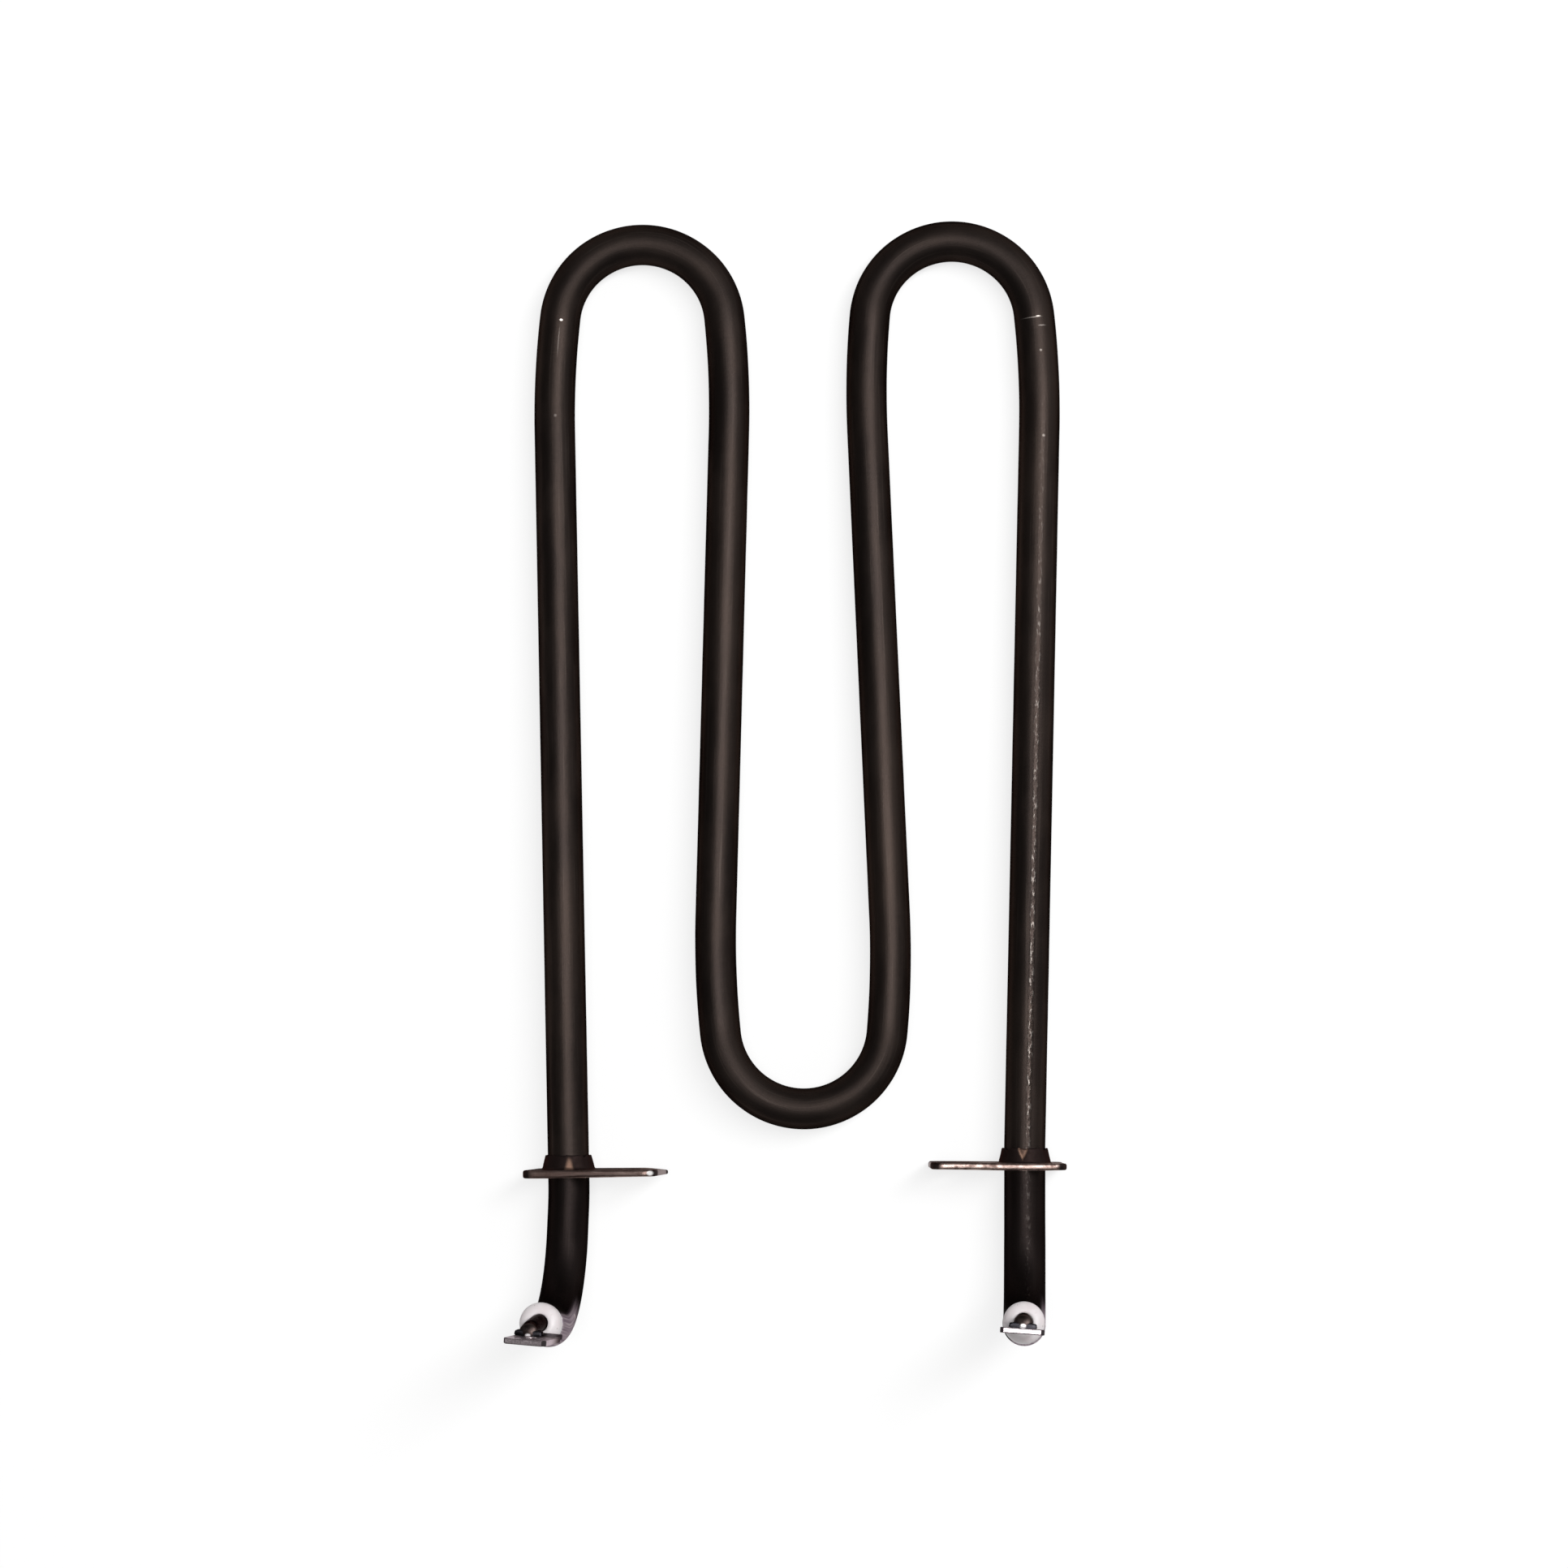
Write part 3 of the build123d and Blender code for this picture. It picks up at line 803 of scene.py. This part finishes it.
# burnt at the weld; also the painted shade on the tip's corners and rims
TAB_BURNT_AND_SHADED = (0.014, 0.012, 0.012)
TAB_EDGE_TINT = (0.5, 0.46, 0.48)
TAB_STRAW = (0.14, 0.105, 0.095)
PIN_EDGE_TINT = (0.26, 0.23, 0.23)
PIN_DARK = (0.032, 0.0235, 0.0215)
PIN_BROWN = (0.058, 0.043, 0.04)
PIN_CLEAN = (0.1, 0.08, 0.074)
# painted highlight on the pin's nose
PIN_PAINTED_HIGHLIGHT = (0.95, 0.92, 0.93)
WELD_DARK = (0.02, 0.019, 0.022)
WELD_GREY = (0.034, 0.032, 0.037)
WELD_CLEAN = (0.06, 0.06, 0.066)
FLOOR_CARD = (0.34, 0.34, 0.34)
FLOOR_SHADE = (0.33, 0.33, 0.33)
FLOOR_GLOW = 0.74
MAGNESIA_PALE = (0.86, 0.85, 0.82)
MAGNESIA_DULL = (0.74, 0.73, 0.7)
SEAL_PALE = (0.55, 0.5, 0.46)
SEAL_DULL = (0.42, 0.37, 0.33)
COIL_PALE = (0.42, 0.4, 0.37)
COIL_DULL = (0.28, 0.25, 0.23)
COIL_TURNS = 9.0  # phase of the wound wire per mm

# ---- where the finishes change, in mm
UPPER_SIDE = (0.0, 1.0)  # lift over which the tube's upper side begins
GRIT_SETS_IN = (-135.0, -20.0)  # along the tube, from the right flange
GRIT_THINS = (-8.0, 1.0)
# the lamp's highlight line across the right leg, where the grit's bright specks are painted sparkle
GRIT_ACROSS = -0.3
GRIT_HALF = (0.1, 0.6)
COLD_END_SHADE = (34.0, 38.0)  # painted shade on the cold ends, from a mouth
MOUTH_REFLECTION = (9.0, 17.0)  # painted reflection, from a mouth, up to MOUTH_RAGGED less where the oxide is blotched
MOUTH_RAGGED = 3.0
# lift and flank over which the painted reflection by the mouths fades
REFLECTION_LIFT = (1.2, 2.4)
REFLECTION_FLANK = (-2.4, -1.0)
FLANK_SWAP = (200.0, 400.0)  # along the tube, where its outer flank changes sides
LEFT_FRONT = (-2.0, 0.0)  # across a plate; only the left one shows its edge at y < 0
FRONT_SHADE = (2.0, 8.0)  # painted shade along the left plate's front
END_SHADE = (1.0, 1.6)  # painted shade, from a plate's end, on its corners
END_SHADE_SHIFT = 0.8  # the painted shade lies nearer to the end on the left plate's front
CORNER_ACROSS = (2.6, 3.4)  # from the plate's middle
END_SILVER = (0.1, 0.25)  # from the plate's inner end
PAINTED_GLINT_ALONG = 13.78  # where a painted highlight sits on the left plate's rounded corner
BURNT_AND_SHADED_FROM = (0.88, 1.0)  # height above the cold face: burnt dark on the collar, painted shade on the plate's face towards the heated side
HEAT_FROM = 1.0  # before the pin's end; the tab is heat-marked up to there
HEAT_REACH = 4.2  # the mark fades out over this length
HEAT_RAGGED = 1.2
TIP_SHADE = (0.9, 1.3)  # painted shade, from the tab's tip, on its corners
TIP_CORNER = (0.4, 0.6)  # from the tab's sides
RIM_SHADE = (0.1, 0.3)  # painted shade, from the tab's tip, on its two rims
RIM_ACROSS = (0.26, 0.36)  # from the middle of its thickness


class Finish:
    """A material whose nodes are added one call at a time."""

    def __init__(self, name, edge_tint=None):
        """An edge tint weakens what a bare metal reflects at a grazing angle."""
        self.material = bpy.data.materials.new(name)
        self.material.use_nodes = True
        self.tree = self.material.node_tree
        self.shader = self.tree.nodes["Principled BSDF"]
        if edge_tint:
            self.shader.inputs["Specular Tint"].default_value = (*edge_tint, 1.0)

    def add(self, kind, inputs=None, **settings):
        """A node with its inputs set to values or linked to other nodes' outputs."""
        node = self.tree.nodes.new(kind)
        for name, value in settings.items():
            setattr(node, name, value)
        for name, value in (inputs or {}).items():
            self.feed(node.inputs[name], value)
        return node

    def feed(self, socket, value):
        """Sets a socket, or links it to another node's output."""
        if isinstance(value, bpy.types.NodeSocket):
            self.tree.links.new(value, socket)
        else:
            socket.default_value = value

    def place(self):
        """The piece's own coordinates, in mm."""
        return self.add("ShaderNodeAttribute", attribute_name="own_place").outputs["Vector"]

    def object_place(self):
        """An object's plain coordinates, in mm."""
        metres = self.add("ShaderNodeTexCoord").outputs["Object"]
        return self.stretched(metres, (1 / MM, 1 / MM, 1 / MM))

    def parts(self, vector):
        """The three components of a vector."""
        split = self.add("ShaderNodeSeparateXYZ", {"Vector": vector})
        return split.outputs["X"], split.outputs["Y"], split.outputs["Z"]

    def math(self, operation, *values):
        """One step of arithmetic."""
        node = self.add("ShaderNodeMath", operation=operation)
        for socket, value in zip(node.inputs, values):
            self.feed(socket, value)
        return node.outputs["Value"]

    def times(self, first, *others):
        """The product of two or more values."""
        for value in others:
            first = self.math("MULTIPLY", first, value)
        return first

    def stretched(self, vector, scale):
        """A vector with its own factor along each axis."""
        node = self.add("ShaderNodeVectorMath", {0: vector, 1: scale}, operation="MULTIPLY")
        return node.outputs["Vector"]

    def noise(self, vector, scale, detail):
        """Noise with so many cells per mm, or with its own number along each axis."""
        if isinstance(scale, float):
            scale = (scale, scale, scale)
        inputs = {"Vector": self.stretched(vector, scale), "Scale": 1.0, "Detail": detail, "Roughness": 0.55}
        return self.add("ShaderNodeTexNoise", inputs).outputs["Fac"]

    def between(self, value, low, high, to_low=0.0, to_high=1.0):
        """A smooth rise or fall from one value to another while the input goes from low to high."""
        inputs = {"Value": value, "From Min": low, "From Max": high, "To Min": to_low, "To Max": to_high}
        node = self.add("ShaderNodeMapRange", inputs, interpolation_type="SMOOTHSTEP")
        return node.outputs["Result"]

    def mix(self, share, first, second):
        """A colour between two colours; each is a tuple or a node's output."""
        node = self.add("ShaderNodeMix", {"Factor": share}, data_type="RGBA")
        for socket, colour in ((node.inputs[6], first), (node.inputs[7], second)):
            self.feed(socket, colour if isinstance(colour, bpy.types.NodeSocket) else (*colour, 1.0))
        return node.outputs[2]

    def layered(self, colour, *layers):
        """A colour under layers of (share, colour), the lowest first."""
        for share, over in layers:
            colour = self.mix(share, colour, over)
        return colour

    def spot(self, place, at, half):
        """One inside an ellipsoid, fading to nought at its edge; in mm, and None leaves an axis out."""
        at = [0.0 if much is None else where for where, much in zip(at, half)]
        off = self.add("ShaderNodeVectorMath", {0: place, 1: at}, operation="SUBTRACT")
        sized = self.stretched(off.outputs["Vector"], [0.0 if much is None else 1 / much for much in half])
        far = self.add("ShaderNodeVectorMath", {0: sized}, operation="LENGTH").outputs["Value"]
        return self.between(far, 0.4, 1.0, 1.0, 0.0)

    def wear_and_highlight(self):
        """The share that the mesh gives each vertex: bending on the sheath, a torn mark with a painted
        highlight on a collar.
        """
        return self.add("ShaderNodeAttribute", attribute_name="wear_and_highlight").outputs["Fac"]

    def finish(self, colour, roughness, metallic, *bumps):
        """Links the results. bumps are (height, distance in mm, strength) triples, coarse first."""
        self.feed(self.shader.inputs["Base Color"], colour)
        self.feed(self.shader.inputs["Roughness"], roughness)
        self.feed(self.shader.inputs["Metallic"], metallic)
        normal = None
        for height, distance, strength in bumps:
            inputs = {"Height": height, "Distance": distance * MM, "Strength": strength}
            if normal:
                inputs["Normal"] = normal
            normal = self.add("ShaderNodeBump", inputs).outputs["Normal"]
        if normal:
            self.feed(self.shader.inputs["Normal"], normal)
        return self.material


def cold_length(side):
    """The tube from a mouth to its flange."""
    rise = FORMER_RADIUS * radians(COLD_BEND_ANGLE)
    return MOUTH_RUN + rise + FLANGE_TO_BEND[side]


FULL_LENGTH = sum(move_length(move) for move in sheath_moves())
FLANGE_ALONG = {"left": cold_length("left"), "right": FULL_LENGTH - cold_length("right")}
CLAMP_ALONG = {"left": FLANGE_ALONG["left"] + 131.0, "right": FLANGE_ALONG["right"] - 130.5}

# rubbed bare spots on the upper side, the last one a painted highlight by the left mouth: place along and
# across the tube, half length and half width in mm, strength
RUBS_AND_GLINT = (
    (CLAMP_ALONG["left"], 0.42, 0.22, 0.34, 1.0),
    (CLAMP_ALONG["left"] - 3.3, 0.30, 2.9, 0.09, 0.10),
    (CLAMP_ALONG["left"] - 14.9, 0.27, 0.3, 0.3, 0.08),
    (CLAMP_ALONG["right"], -0.33, 0.14, 0.45, 0.7),
    (CLAMP_ALONG["right"] + 0.1, 0.6, 0.12, 1.9, 0.25),
    (CLAMP_ALONG["right"] + 1.45, -0.8, 0.12, 0.8, 0.2),
    (CLAMP_ALONG["right"] + 5.3, -0.3, 0.25, 0.25, 0.2),
    (CLAMP_ALONG["right"] + 18.5, -0.5, 0.3, 0.3, 0.15),
    # a painted highlight on the flank by the left mouth
    (10.8, 3.02, 0.6, 0.2, 1.0),
)


def grit_and_sparkle_share(f, along, lift, across):
    """Where the right leg's upper line is gritty, along the lamp's highlight, so that the grit's bright
    specks are painted sparkle; the grit thickens towards the flange.
    """
    flange = FLANGE_ALONG["right"]
    off_line = f.math("ABSOLUTE", f.math("SUBTRACT", across, GRIT_ACROSS))
    return f.times(f.between(along, flange + GRIT_SETS_IN[0], flange + GRIT_SETS_IN[1]),
                   f.between(along, flange + GRIT_THINS[0], flange + GRIT_THINS[1], 1.0, 0.2),
                   f.between(off_line, *GRIT_HALF, 1.0, 0.0),
                   f.between(lift, *UPPER_SIDE))


def rub_and_glint_share(f, place, lift):
    """The rubbed spots on the tube's upper side, with one painted highlight among them by the left mouth."""
    rubs = 0.0
    for at, where, half_long, half_wide, strength in RUBS_AND_GLINT:
        spot = f.spot(place, (at, 0, where), (half_long, None, half_wide))
        rubs = f.math("MAXIMUM", rubs, f.times(spot, strength))
    return f.times(rubs, f.between(lift, *UPPER_SIDE))


def mouth_reflection_share(f, along, lift, across, from_end, blotch):
    """Where the outer flanks of the rising ends carry a painted reflection, with a ragged edge, near their
    mouths.
    """
    flank = f.times(across, f.between(along, *FLANK_SWAP, 1.0, -1.0))
    ragged = f.math("ADD", from_end, f.times(blotch, MOUTH_RAGGED))
    return f.times(f.between(ragged, *MOUTH_REFLECTION, 1.0, 0.0),
                   f.between(lift, *REFLECTION_LIFT, 1.0, 0.0),
                   f.between(flank, *REFLECTION_FLANK))


def sheath_finish():
    """Black-brown heat oxide with drawing lines, rubs, a line of grit with painted sparkle, painted shade on
    the cold ends and a painted reflection by the mouths.
    """
    f = Finish("sheath", SHEATH_EDGE_TINT)
    place = f.place()
    along, lift, across = f.parts(place)
    blotch = f.noise(place, (0.09, 0.26, 0.26), 4)
    cloud = f.noise(place, (0.022, 0.09, 0.09), 2)
    grain = f.noise(place, 5.2, 2)
    drawn = f.noise(place, (0.06, 2.6, 2.6), 3)
    ripple = f.noise(place, (1.5, 0.38, 0.38), 3)
    grit = f.noise(place, (0.9, 2.6, 2.6), 2)
    from_end = f.math("MINIMUM", along, f.math("SUBTRACT", FULL_LENGTH, along))
    grit_and_sparkle = grit_and_sparkle_share(f, along, lift, across)
    # painted reflection on the flanks by the mouths
    mouth_reflected = mouth_reflection_share(f, along, lift, across, from_end, blotch)
    # bright grit specks, painted as sparkle along the lamp's highlight line
    specks = f.times(f.between(grit, 0.52, 0.70), grit_and_sparkle, 0.22)
    colour = f.layered(
        SHEATH_DARK,
        (f.between(blotch, 0.35, 0.7), SHEATH_BROWN),
        (f.between(cloud, 0.45, 0.75, 0.0, 0.6), SHEATH_WARM),
        (f.between(drawn, 0.56, 0.72, 0.0, 0.35), SHEATH_LINE),
        # painted shade on the cold ends
        (f.between(from_end, *COLD_END_SHADE, 0.7, 0.0), SHEATH_COLD_SHADE),
        (f.math("MAXIMUM", rub_and_glint_share(f, place, lift), specks), SHEATH_RUBBED_AND_GLINT),
        # painted reflection by the mouths
        (mouth_reflected, f.mix(f.between(drawn, 0.4, 0.6), MOUTH_REFLECTED_LILAC, MOUTH_REFLECTED_PALE)))
    uneven = f.math("ADD", f.times(blotch, 0.6), f.times(grain, 0.4))
    roughness = f.between(uneven, 0.3, 0.7, *SHEATH_ROUGHNESS)
    roughness = f.math("SUBTRACT", roughness, f.times(f.math("MAXIMUM", grit_and_sparkle, mouth_reflected), 0.12))
    roughness = f.math("ADD", roughness, f.times(f.wear_and_highlight(), BEND_ROUGHER))
    return f.finish(colour, roughness, 1.0,
                    (ripple, 0.06, 0.25), (drawn, 0.03, 0.35),
                    (f.times(grit, f.math("ADD", grit_and_sparkle, 0.06)), 0.12, 0.8),
                    (grain, 0.02, 0.5))


def flange_finish():
    """Steel with a copper-brown tarnish, streaked along its cut edges and burnt on the collar, with painted
    shade on the plate's face towards the heated side and on its end corners, and a painted highlight on the
    collar's upper line.

    The left plate's front carries painted shade, darker than the right one's, and a painted highlight on one
    corner.
    """
    f = Finish("flange", FLANGE_EDGE_TINT)
    place = f.place()
    x, y, z = f.parts(place)
    streak = f.noise(place, (0.3, 0.3, 1.7), 4)
    spots = f.noise(place, 1.1, 4)
    cloud = f.noise(place, 0.18, 3)
    left_front = f.between(y, *LEFT_FRONT, 1.0, 0.0)
    # painted shade on the plates' rounded end corners
    inner = f.math("SUBTRACT", x, f.times(left_front, END_SHADE_SHIFT))
    shaded_ends = f.math("MAXIMUM", f.between(inner, PLATE_IN - END_SHADE[1], PLATE_IN - END_SHADE[0]),
                  f.between(x, END_SHADE[0] - PLATE_OUT, END_SHADE[1] - PLATE_OUT, 1.0, 0.0))
    shaded_ends = f.times(shaded_ends, f.between(f.math("ABSOLUTE", y), *CORNER_ACROSS))
    silver = f.between(x, PLATE_IN - END_SILVER[1], PLATE_IN - END_SILVER[0], 0.0, 0.8)
    # painted highlight on the left plate's rounded corner, made less metallic so it stays white
    painted_glint = f.spot(place, (PAINTED_GLINT_ALONG, 0, PLATE_THICKNESS / 2), (0.55, None, 0.5))
    painted_glint = f.times(left_front, painted_glint)
    # dark oxide on the collar, and painted shade on the plate's face towards the heated side
    burnt_and_shaded = f.between(z, *BURNT_AND_SHADED_FROM)
    colour = f.layered(
        FLANGE_COPPER,
        (f.between(spots, 0.35, 0.65), FLANGE_BROWN),
        (f.between(streak, 0.40, 0.72), FLANGE_BRIGHT),
        (f.between(cloud, 0.45, 0.7, 0.0, 0.5), FLANGE_BROWN),
        # painted shade on the left plate's front
        (f.times(left_front, f.between(x, *FRONT_SHADE, 0.8, 0.4)), FLANGE_BROWN),
        (silver, FLANGE_SILVER),
        # painted shade on the end corners
        (f.times(shaded_ends, 0.9), COLLAR_DARK),
        # burnt collar and painted shade on the plate's face
        (burnt_and_shaded, f.mix(cloud, COLLAR_DARK, COLLAR_BROWN)),
        # painted highlight on the collar's upper line, over the sunk V on the right
        (f.times(f.wear_and_highlight(), f.between(spots, 0.25, 0.6, 0.6, 1.0)), COLLAR_TAN_HIGHLIGHT),
        # painted highlight
        (painted_glint, FLANGE_PAINTED_GLINT))
    roughness = f.between(spots, 0.3, 0.7, 0.32, 0.44)
    roughness = f.math("ADD", roughness, f.times(f.math("MAXIMUM", burnt_and_shaded, shaded_ends), 0.25))
    return f.finish(colour, roughness, f.math("SUBTRACT", 1.0, f.times(painted_glint, 0.9)),
                    (streak, 0.06, 0.25), (spots, 0.05, 0.35))


def bush_finish():
    """Satin white steatite with a faint grain and a few grey specks."""
    f = Finish("bush")
    f.shader.inputs["Specular IOR Level"].default_value = 0.7
    place = f.place()
    grain = f.noise(place, 2.6, 3)
    cloud = f.noise(place, 0.38, 3)
    specks = f.between(f.noise(place, 1.5, 1), 0.74, 0.80)
    colour = f.layered(BUSH_WHITE, (f.between(cloud, 0.35, 0.7), BUSH_GREY),
                       (f.times(specks, 0.5), BUSH_SPECK))
    return f.finish(colour, f.between(grain, 0.3, 0.7, 0.32, 0.46), 0.0, (grain, 0.02, 0.35))


def tab_finish():
    """Nickel plate brushed along the blade, with painted shade at its tip's corners and rims, and burnt at
    the weld.
    """
    f = Finish("tab", TAB_EDGE_TINT)
    place = f.place()
    x, y, z = f.parts(place)
    brushed = f.noise(place, (3.8, 3.8, 0.16), 3)
    rolled = f.noise(place, (2.4, 0.5, 0.3), 4)
    cloud = f.noise(place, 0.42, 3)
    weld, tip = PIN_ON_TAB - HEAT_FROM, TAB_NECK + TAB_BLADE
    middle = WELD_SINK - PIN_D / 2 - TAB_THICKNESS / 2
    ragged = f.math("ADD", z, f.times(cloud, HEAT_RAGGED))
    heat = f.between(ragged, weld, weld + HEAT_REACH, 1.0, 0.0)
    side = TAB_WIDTH / 2
    # painted shade on the tip's corners and rims
    corner = f.times(f.between(f.math("ABSOLUTE", y), side - TIP_CORNER[1], side - TIP_CORNER[0]),
                     f.between(z, tip - TIP_SHADE[1], tip - TIP_SHADE[0]))
    off_middle = f.math("ABSOLUTE", f.math("SUBTRACT", x, middle))
    rim = f.times(f.between(off_middle, *RIM_ACROSS),
                  f.between(z, tip - RIM_SHADE[1], tip - RIM_SHADE[0]), 0.75)
    dark = f.math("MAXIMUM", corner, rim)
    colour = f.layered(
        TAB_NICKEL,
        (f.between(cloud, 0.35, 0.7), TAB_GREY),
        (f.between(rolled, 0.45, 0.7, 0.0, 0.5), TAB_DULL),
        (heat, f.mix(f.between(z, weld - 2, weld + 2), TAB_BURNT_AND_SHADED, TAB_STRAW)),
        (f.times(dark, 0.92), TAB_BURNT_AND_SHADED))
    roughness = f.math("ADD", f.between(brushed, 0.3, 0.7, 0.22, 0.34), f.times(heat, 0.12))
    roughness = f.math("ADD", roughness, f.times(dark, 0.35))
    return f.finish(colour, roughness, 1.0, (brushed, 0.02, 0.15), (rolled, 0.03, 0.06))


def pin_finish(name, dark, brown, clean, bump):
    """Drawn steel darkened by the weld's heat, with cleaner flecks and a painted highlight at the nose."""
    f = Finish(name, PIN_EDGE_TINT)
    place = f.place()
    drawn = f.noise(place, (3, 3, 0.3), 3)
    spots = f.noise(place, 0.9, 4)
    flecks = f.noise(place, 1.6, 2)
    # painted highlight on the pressed nose, made less metallic so it stays white
    painted_highlight = f.spot(place, (-NOSE_SHIFT - 0.1, 0, PIN_ON_TAB), (0.42, 0.55, 0.5))
    colour = f.layered(dark, (f.between(spots, 0.35, 0.65), brown),
                       (f.between(flecks, 0.6, 0.7, 0.0, 0.35), clean), (painted_highlight, PIN_PAINTED_HIGHLIGHT))
    return f.finish(colour, f.between(spots, 0.3, 0.7, 0.26, 0.38),
                    f.math("SUBTRACT", 1.0, f.times(painted_highlight, 0.6)),
                    (spots, 0.05, bump), (drawn, 0.02, bump))


def powder_finish(name, pale, dull, roughness):
    """Pressed powder or cured resin: soft mottling and a fine grain."""
    f = Finish(name)
    place = f.object_place()
    mottle = f.noise(place, 0.6, 4)
    grain = f.noise(place, 4.0, 2)
    return f.finish(f.mix(mottle, pale, dull), f.between(grain, 0.3, 0.7, roughness, roughness + 0.15),
                    0.0, (grain, 0.05, 0.5))


def coil_finish():
    """Wound resistance wire, seen as turns along the coil's envelope."""
    f = Finish("coil")
    place = f.object_place()
    x, y, _ = f.parts(place)
    turns = f.math("SINE", f.times(f.math("ADD", x, y), COIL_TURNS))
    cloud = f.noise(place, 0.9, 3)
    return f.finish(f.mix(cloud, COIL_PALE, COIL_DULL), f.between(cloud, 0.3, 0.7, 0.3, 0.45), 1.0,
                    (turns, 0.2, 0.6))


def floor_finish():
    """Matt grey card that the camera and reflections see as a white one, with its shadows kept."""
    f = Finish("white_card")
    place = f.object_place()
    fibre = f.noise(place, 0.9, 3)
    cloud = f.noise(place, 0.012, 2)
    rays = f.add("ShaderNodeLightPath").outputs
    seen = f.math("MAXIMUM", rays["Is Camera Ray"], rays["Is Glossy Ray"])
    seen = f.math("MAXIMUM", seen, rays["Is Transmission Ray"])
    f.shader.inputs["Specular IOR Level"].default_value = 0.0
    f.shader.inputs["Emission Color"].default_value = (1.0, 1.0, 1.0, 1.0)
    f.feed(f.shader.inputs["Emission Strength"], f.times(seen, FLOOR_GLOW))
    return f.finish(f.mix(cloud, FLOOR_CARD, FLOOR_SHADE), f.between(fibre, 0.3, 0.7, 0.85, 0.95), 0.0,
                    (fibre, 0.02, 0.1))


MATERIALS = {
    "sheath": sheath_finish(),
    "flange": flange_finish(),
    "bush": bush_finish(),
    "tab": tab_finish(),
    "pin": pin_finish("pin", PIN_DARK, PIN_BROWN, PIN_CLEAN, 0.35),
    "weld": pin_finish("weld", WELD_DARK, WELD_GREY, WELD_CLEAN, 0.12),
    "magnesia": powder_finish("magnesia", MAGNESIA_PALE, MAGNESIA_DULL, 0.8),
    "seal": powder_finish("seal", SEAL_PALE, SEAL_DULL, 0.45),
    "coil": coil_finish(),
}


# ---------- the object
make_sheath()
for side in INWARD:
    make_pin(side)
    make_weld(side)
    make_bush(side)
    make_tab(side)
    make_flange(side)

KEPT_NODES = {
    "magnesia_filling": "magnesia",
    "resistance_coil": "coil",
    "left_end_seal": "seal",
    "right_end_seal": "seal",
}
for node, material in KEPT_NODES.items():
    for slot in frame["nodes"][node].material_slots:
        slot.material = MATERIALS[material]


# ---------- floor, light and camera
FLOOR_SIZE = 6.0
bpy.ops.mesh.primitive_plane_add(size=FLOOR_SIZE)
floor = bpy.context.object
floor.name = "floor_card"
floor.data.materials.append(floor_finish())

WORLD_LEVEL = 0.18
world = bpy.data.worlds.new("soft_room")
world.use_nodes = True
world.node_tree.nodes["Background"].inputs["Color"].default_value = (1.0, 1.0, 1.0, 1.0)
world.node_tree.nodes["Background"].inputs["Strength"].default_value = WORLD_LEVEL
bpy.context.scene.world = world


def area_lamp(name, spot, aim, size, power):
    """A rectangular soft lamp turned to a point; lengths in metres, power in watts."""
    data = bpy.data.lights.new(name, "AREA")
    data.shape, data.size, data.size_y, data.energy = "RECTANGLE", *size, power
    lamp = bpy.data.objects.new(name, data)
    lamp.location = spot
    lamp.rotation_euler = (Vector(aim) - Vector(spot)).to_track_quat("-Z", "Y").to_euler()
    bpy.context.scene.collection.objects.link(lamp)


area_lamp("key_softbox", spot=(0.22, 0.13, 0.94), aim=(0, 0, 0), size=(0.22, 0.95), power=7.4)
area_lamp("side_softbox", spot=(1.00, 0.55, 0.42), aim=(0, 0, 0.01), size=(1.1, 1.1), power=2.6)

# the view, in the flat M's frame: where it looks, how far it stands off and how far it leans back
VIEW_TARGET = (32.648, 59.61, 0.0)
VIEW_DISTANCE = 560.0
VIEW_LEAN = 4.445
VIEW_WIDTH = 1932
VIEW_FOCAL = 4511.0  # focal length, on an image VIEW_WIDTH wide


def make_camera():
    """A camera that looks down on the M, leant a little towards the terminals."""
    data = bpy.data.cameras.new("camera")
    data.angle = 2 * atan(VIEW_WIDTH / 2 / VIEW_FOCAL)
    data.clip_start, data.clip_end = 0.01, 20.0
    camera = bpy.data.objects.new("camera", data)
    bpy.context.scene.collection.objects.link(camera)
    stand = Matrix.Translation(VIEW_TARGET) @ turned(VIEW_LEAN, "X") @ shifted(0, 0, VIEW_DISTANCE)
    spot, turn, _ = (PLACE @ stand).decompose()
    camera.location = spot
    camera.rotation_euler = turn.to_euler()
    bpy.context.scene.camera = camera


make_camera()
bpy.context.scene.view_settings.view_transform = "Standard"
